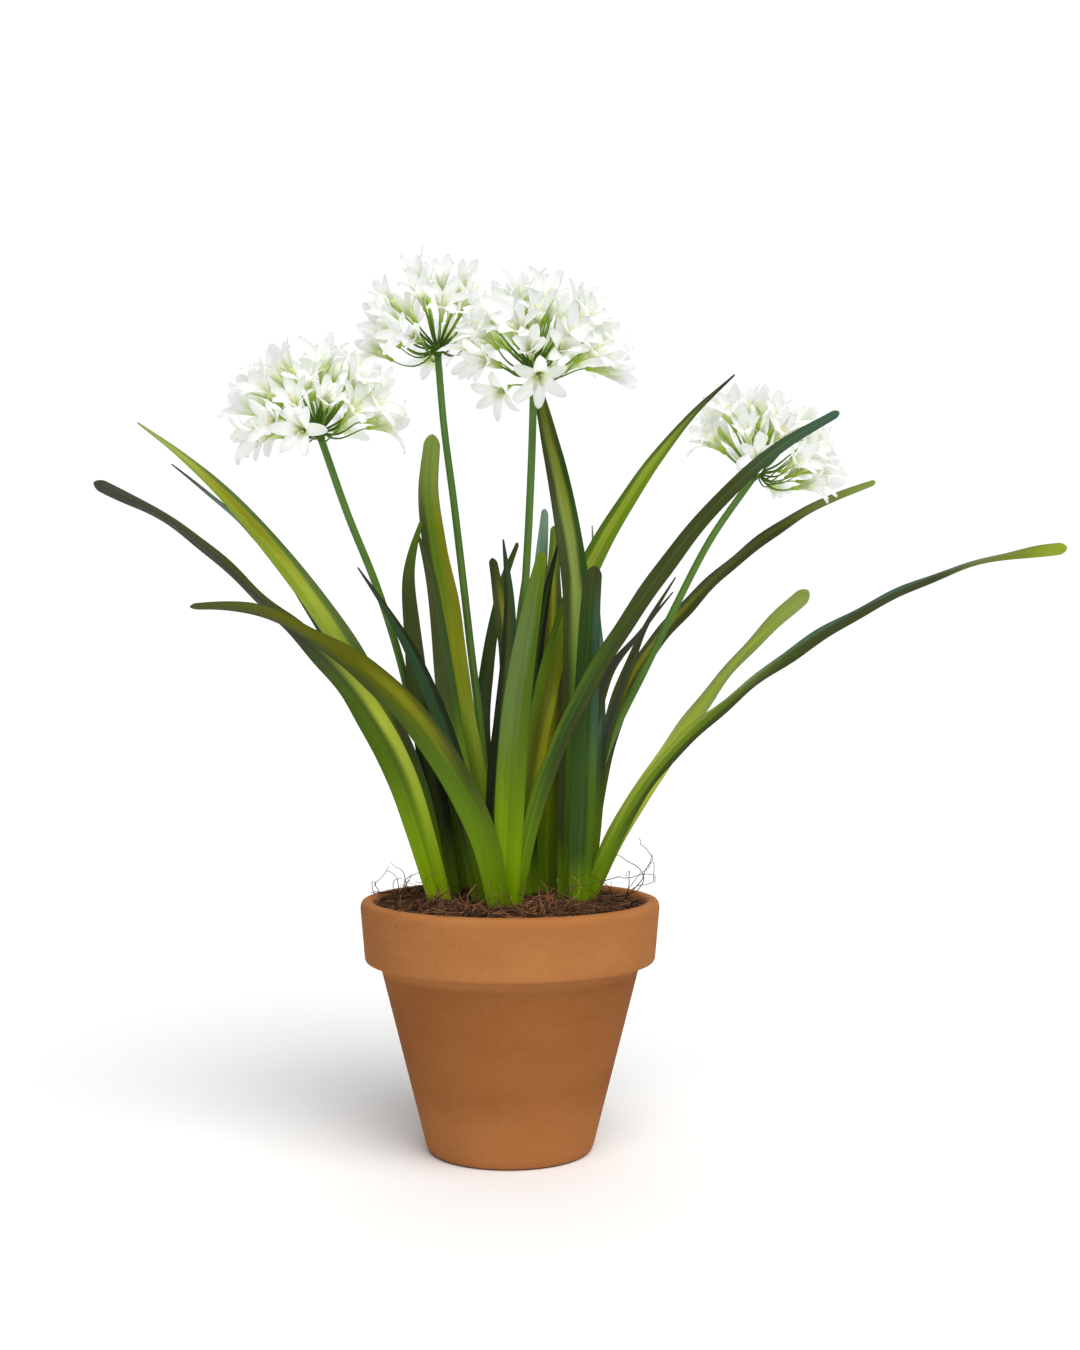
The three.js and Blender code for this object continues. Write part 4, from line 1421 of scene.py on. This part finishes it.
def random_value(tree, kind, low, high, seed):
    """A random value for each point; the sockets in use depend on the kind."""
    node = add_node(tree, "FunctionNodeRandomValue", {"Seed": seed}, data_type=kind)
    fields = [s for s in node.inputs if s.enabled and s.name in ("Min", "Max")]
    for socket, value in zip(fields, (low, high)):
        if isinstance(value, bpy.types.NodeSocket):
            tree.links.new(value, socket)
        else:
            socket.default_value = value
    return next(s for s in node.outputs if s.enabled)


def strew_tree():
    inputs = {**dict.fromkeys(SHAPES, OBJECT), "Per Square Metre": 1000.0, "Smallest": 0.6,
              "Largest": 1.3, "Tilt": 0.5, "Seed": 1}
    tree, given, out = new_tree("strew", inputs)
    seed = given["Seed"]
    inputs = {"Mesh": given["Geometry"], "Density": given["Per Square Metre"], "Seed": seed}
    points = add_node(tree, "GeometryNodeDistributePointsOnFaces", inputs).outputs
    high = parts_of(tree, points["Normal"])[2]
    under = add_node(tree, "FunctionNodeCompare", {0: high, 1: UPPER}, operation="LESS_THAN")
    inputs = {0: points["Points"], 1: under.outputs[0]}
    upper = add_node(tree, "GeometryNodeDeleteGeometry", inputs, domain="POINT").outputs[0]
    angle = random_value(tree, "FLOAT_VECTOR", (-1, -1, 0), (1, 1, 1), seed)
    limits = vector_of(tree, given["Tilt"], given["Tilt"], 2 * math.pi)
    turn = add_node(tree, "ShaderNodeVectorMath", {0: angle, 1: limits}, operation="MULTIPLY")
    size = random_value(tree, "FLOAT", given["Smallest"], given["Largest"], seed)
    stood = stand(tree, given, upper, turn.outputs[0], size)
    inputs = {0: stood, "Name": "tone", "Value": random_value(tree, "FLOAT", 0.0, 1.0, seed)}
    toned = add_node(tree, "GeometryNodeStoreNamedAttribute", inputs, data_type="FLOAT",
                     domain="INSTANCE")
    return end_tree(tree, given, out, toned.outputs[0])


STREW = strew_tree()
print("tree:", STREW.name)

# %% Fibre and crumb shapes
FIBRE_LENGTHS = (16, 24, 32)
FIBRE_THICK = 0.28 * MM
FIBRE_STEPS, FIBRE_SIDES = 7, 3
FIBRE_FLAT = 0.35  # how much of a fibre's rise and fall stays when it lies on the soil
FIBRE_LIFT = 1.2 * MM
BEND_KEPT = 0.6  # of a fibre's bend, from one step to the next
CRUMB = 1.5 * MM
CRUMB_FLAT = 0.65


def fibre_line(length, dice, points, curl=0.9, start=(0, 0, 0), way=(1, 0, 0)):
    """A wandering line that keeps turning the same way for a while, as a dry fibre does."""
    place, heading = Vector(start), Vector(way).normalized()
    bend = Vector((dice.uniform(-1, 1), dice.uniform(-1, 1), dice.uniform(-0.4, 0.6)))
    line = [place.copy()]
    for _ in range(points - 1):
        drift = Vector((dice.uniform(-1, 1), dice.uniform(-1, 1), dice.uniform(-0.7, 0.7)))
        bend = bend * BEND_KEPT + drift * (1 - BEND_KEPT)
        heading = (heading + bend * curl * 4 / points).normalized()
        place = place + heading * length / (points - 1)
        line.append(place.copy())
    return line


def fibre_shape(name, length):
    dice = random.Random(FIBRE_LENGTHS.index(length))
    line = np.array(fibre_line(length * MM, dice, FIBRE_STEPS))
    line -= line.mean(0)
    line[:, 2] = line[:, 2] * FIBRE_FLAT + FIBRE_LIFT
    thick = FIBRE_THICK * np.linspace(1, 0.5, len(line))
    return tube_mesh(name, line, distances(line), thick, FIBRE_SIDES)


def crumb_shape(name, seed):
    solid = bmesh.new()
    bmesh.ops.create_icosphere(solid, subdivisions=1, radius=CRUMB)
    dice = random.Random(seed)
    for vertex in solid.verts:
        vertex.co *= dice.uniform(0.6, 1.25)
        vertex.co.z *= CRUMB_FLAT
    mesh = bpy.data.meshes.new(name)
    solid.to_mesh(mesh)
    solid.free()
    return mesh


FIBRES = three("fibre", fibre_shape, FIBRE_LENGTHS)
CRUMBS = three("crumb", crumb_shape, (40, 41, 42))
print("a crumb has", len(CRUMBS[0].data.polygons), "faces")

# %% Strew fibre and crumbs
def fibre_finish(name, dark, light):
    finish, tree, surface = new_finish(name, 0.85, Specular_IOR_Level=0.2)
    place = object_place(tree)
    few_light = maths(tree, "POWER", attribute(tree, "tone", "Fac"), 2.5)
    tone = mix_colours(tree, few_light, colour(dark), colour(light))
    tone, _ = mottled(tree, place, tone, colour(dark), scale=500.0, amount=0.6)
    cover(tree, surface, tone, noise_value(tree, place, 1500.0, 2.0), 0.1 * MM)
    return finish


def strew(name, shapes, finish, **values):
    mesh = grow(name, soil.data.copy(), STREW, finish, shapes, **values)
    place_piece(name, mesh, finish, "soil", "soil")


FIBRE = fibre_finish("coir", "#301c12", "#a5744e")
PEAT = fibre_finish("crumb", "#20120b", "#583c28")
strew("soil_fibre", FIBRES, FIBRE, Per_Square_Metre=42000, Seed=5, Tilt=0.35, Smallest=0.5,
      Largest=1.25)
strew("soil_crumbs", CRUMBS, PEAT, Per_Square_Metre=52000, Seed=9, Tilt=3.0, Smallest=0.5,
      Largest=1.3)

# %% [markdown]
# ## Standing fibre
# Some long dry fibres curl up out of the soil, in loose nests between the leaves and at the
# rim. They could be drawn one by one as curves, but only the tangle matters, not a single
# line. So each is a line with a slow random bend, grown into a thread by the tree that also
# made the flower stalks. Where it would cross the soil or the clay, it is lifted over them.

# %% Standing fibre
NESTS = (
    # where on the soil, how many, how long, how upright and how light
    ((-0.105, 0.02), 10, 60, 1.0, 0.4),
    ((-0.085, -0.03), 10, 50, 0.9, 0.7),
    ((0.094, 0.02), 9, 110, 1.8, 0.4),
    ((0.055, -0.085), 30, 60, 0.8, 1.3),
    ((0.02, -0.1), 30, 60, 0.7, 1.3),
    ((-0.03, -0.095), 18, 55, 0.9, 1.2),
    ((-0.065, -0.07), 16, 55, 0.9, 1.1),
    ((0.095, -0.03), 10, 50, 0.8, 0.8),
)
RIM_EDGE, RIM_INSIDE = 0.131, 0.112  # radii
OVER_RIM, OVER_SOIL = 0.2275, 0.222  # the least heights of a fibre over the rim and the soil
STRAND_STEPS, STRAND_CURL = 24, 4.0
STRAND_THICK = (0.48, 0.26)  # mm, at the foot and at the end


def over_pot(point):
    """Keeps a fibre's point out of the soil and the rim, and inside the rim's edge."""
    away = math.hypot(point.x, point.y)
    inward = min(1, RIM_EDGE / away)
    lowest = OVER_SOIL if away < RIM_INSIDE else OVER_RIM
    return Vector((point.x * inward, point.y * inward, max(point.z, lowest)))


def standing_fibre():
    dice = random.Random(23)
    thick = np.linspace(*STRAND_THICK, STRAND_STEPS) * MM
    lines = []
    for (x, y), count, length, upright, light in NESTS:
        for _ in range(count):
            start = (x + dice.uniform(-0.02, 0.02), y + dice.uniform(-0.015, 0.015))
            start = (*start, soil_height(*start) - 2 * MM)
            way = (dice.uniform(-1, 1), dice.uniform(-1, 1), upright)
            reach = length * MM * dice.uniform(0.5, 1.1)
            line = fibre_line(reach, dice, STRAND_STEPS, STRAND_CURL, start, way)
            lines.append(([over_pot(point) for point in line], thick, light * dice.uniform(0.3, 1)))
    return lines_mesh("standing_fibre", lines)


strands = grow("standing_fibre", standing_fibre(), STALK_ALONG_LINE, FIBRE, Sides=4, Thickness=1.0)
place_piece("soil_fibre_standing", strands, FIBRE, "soil", "soil")
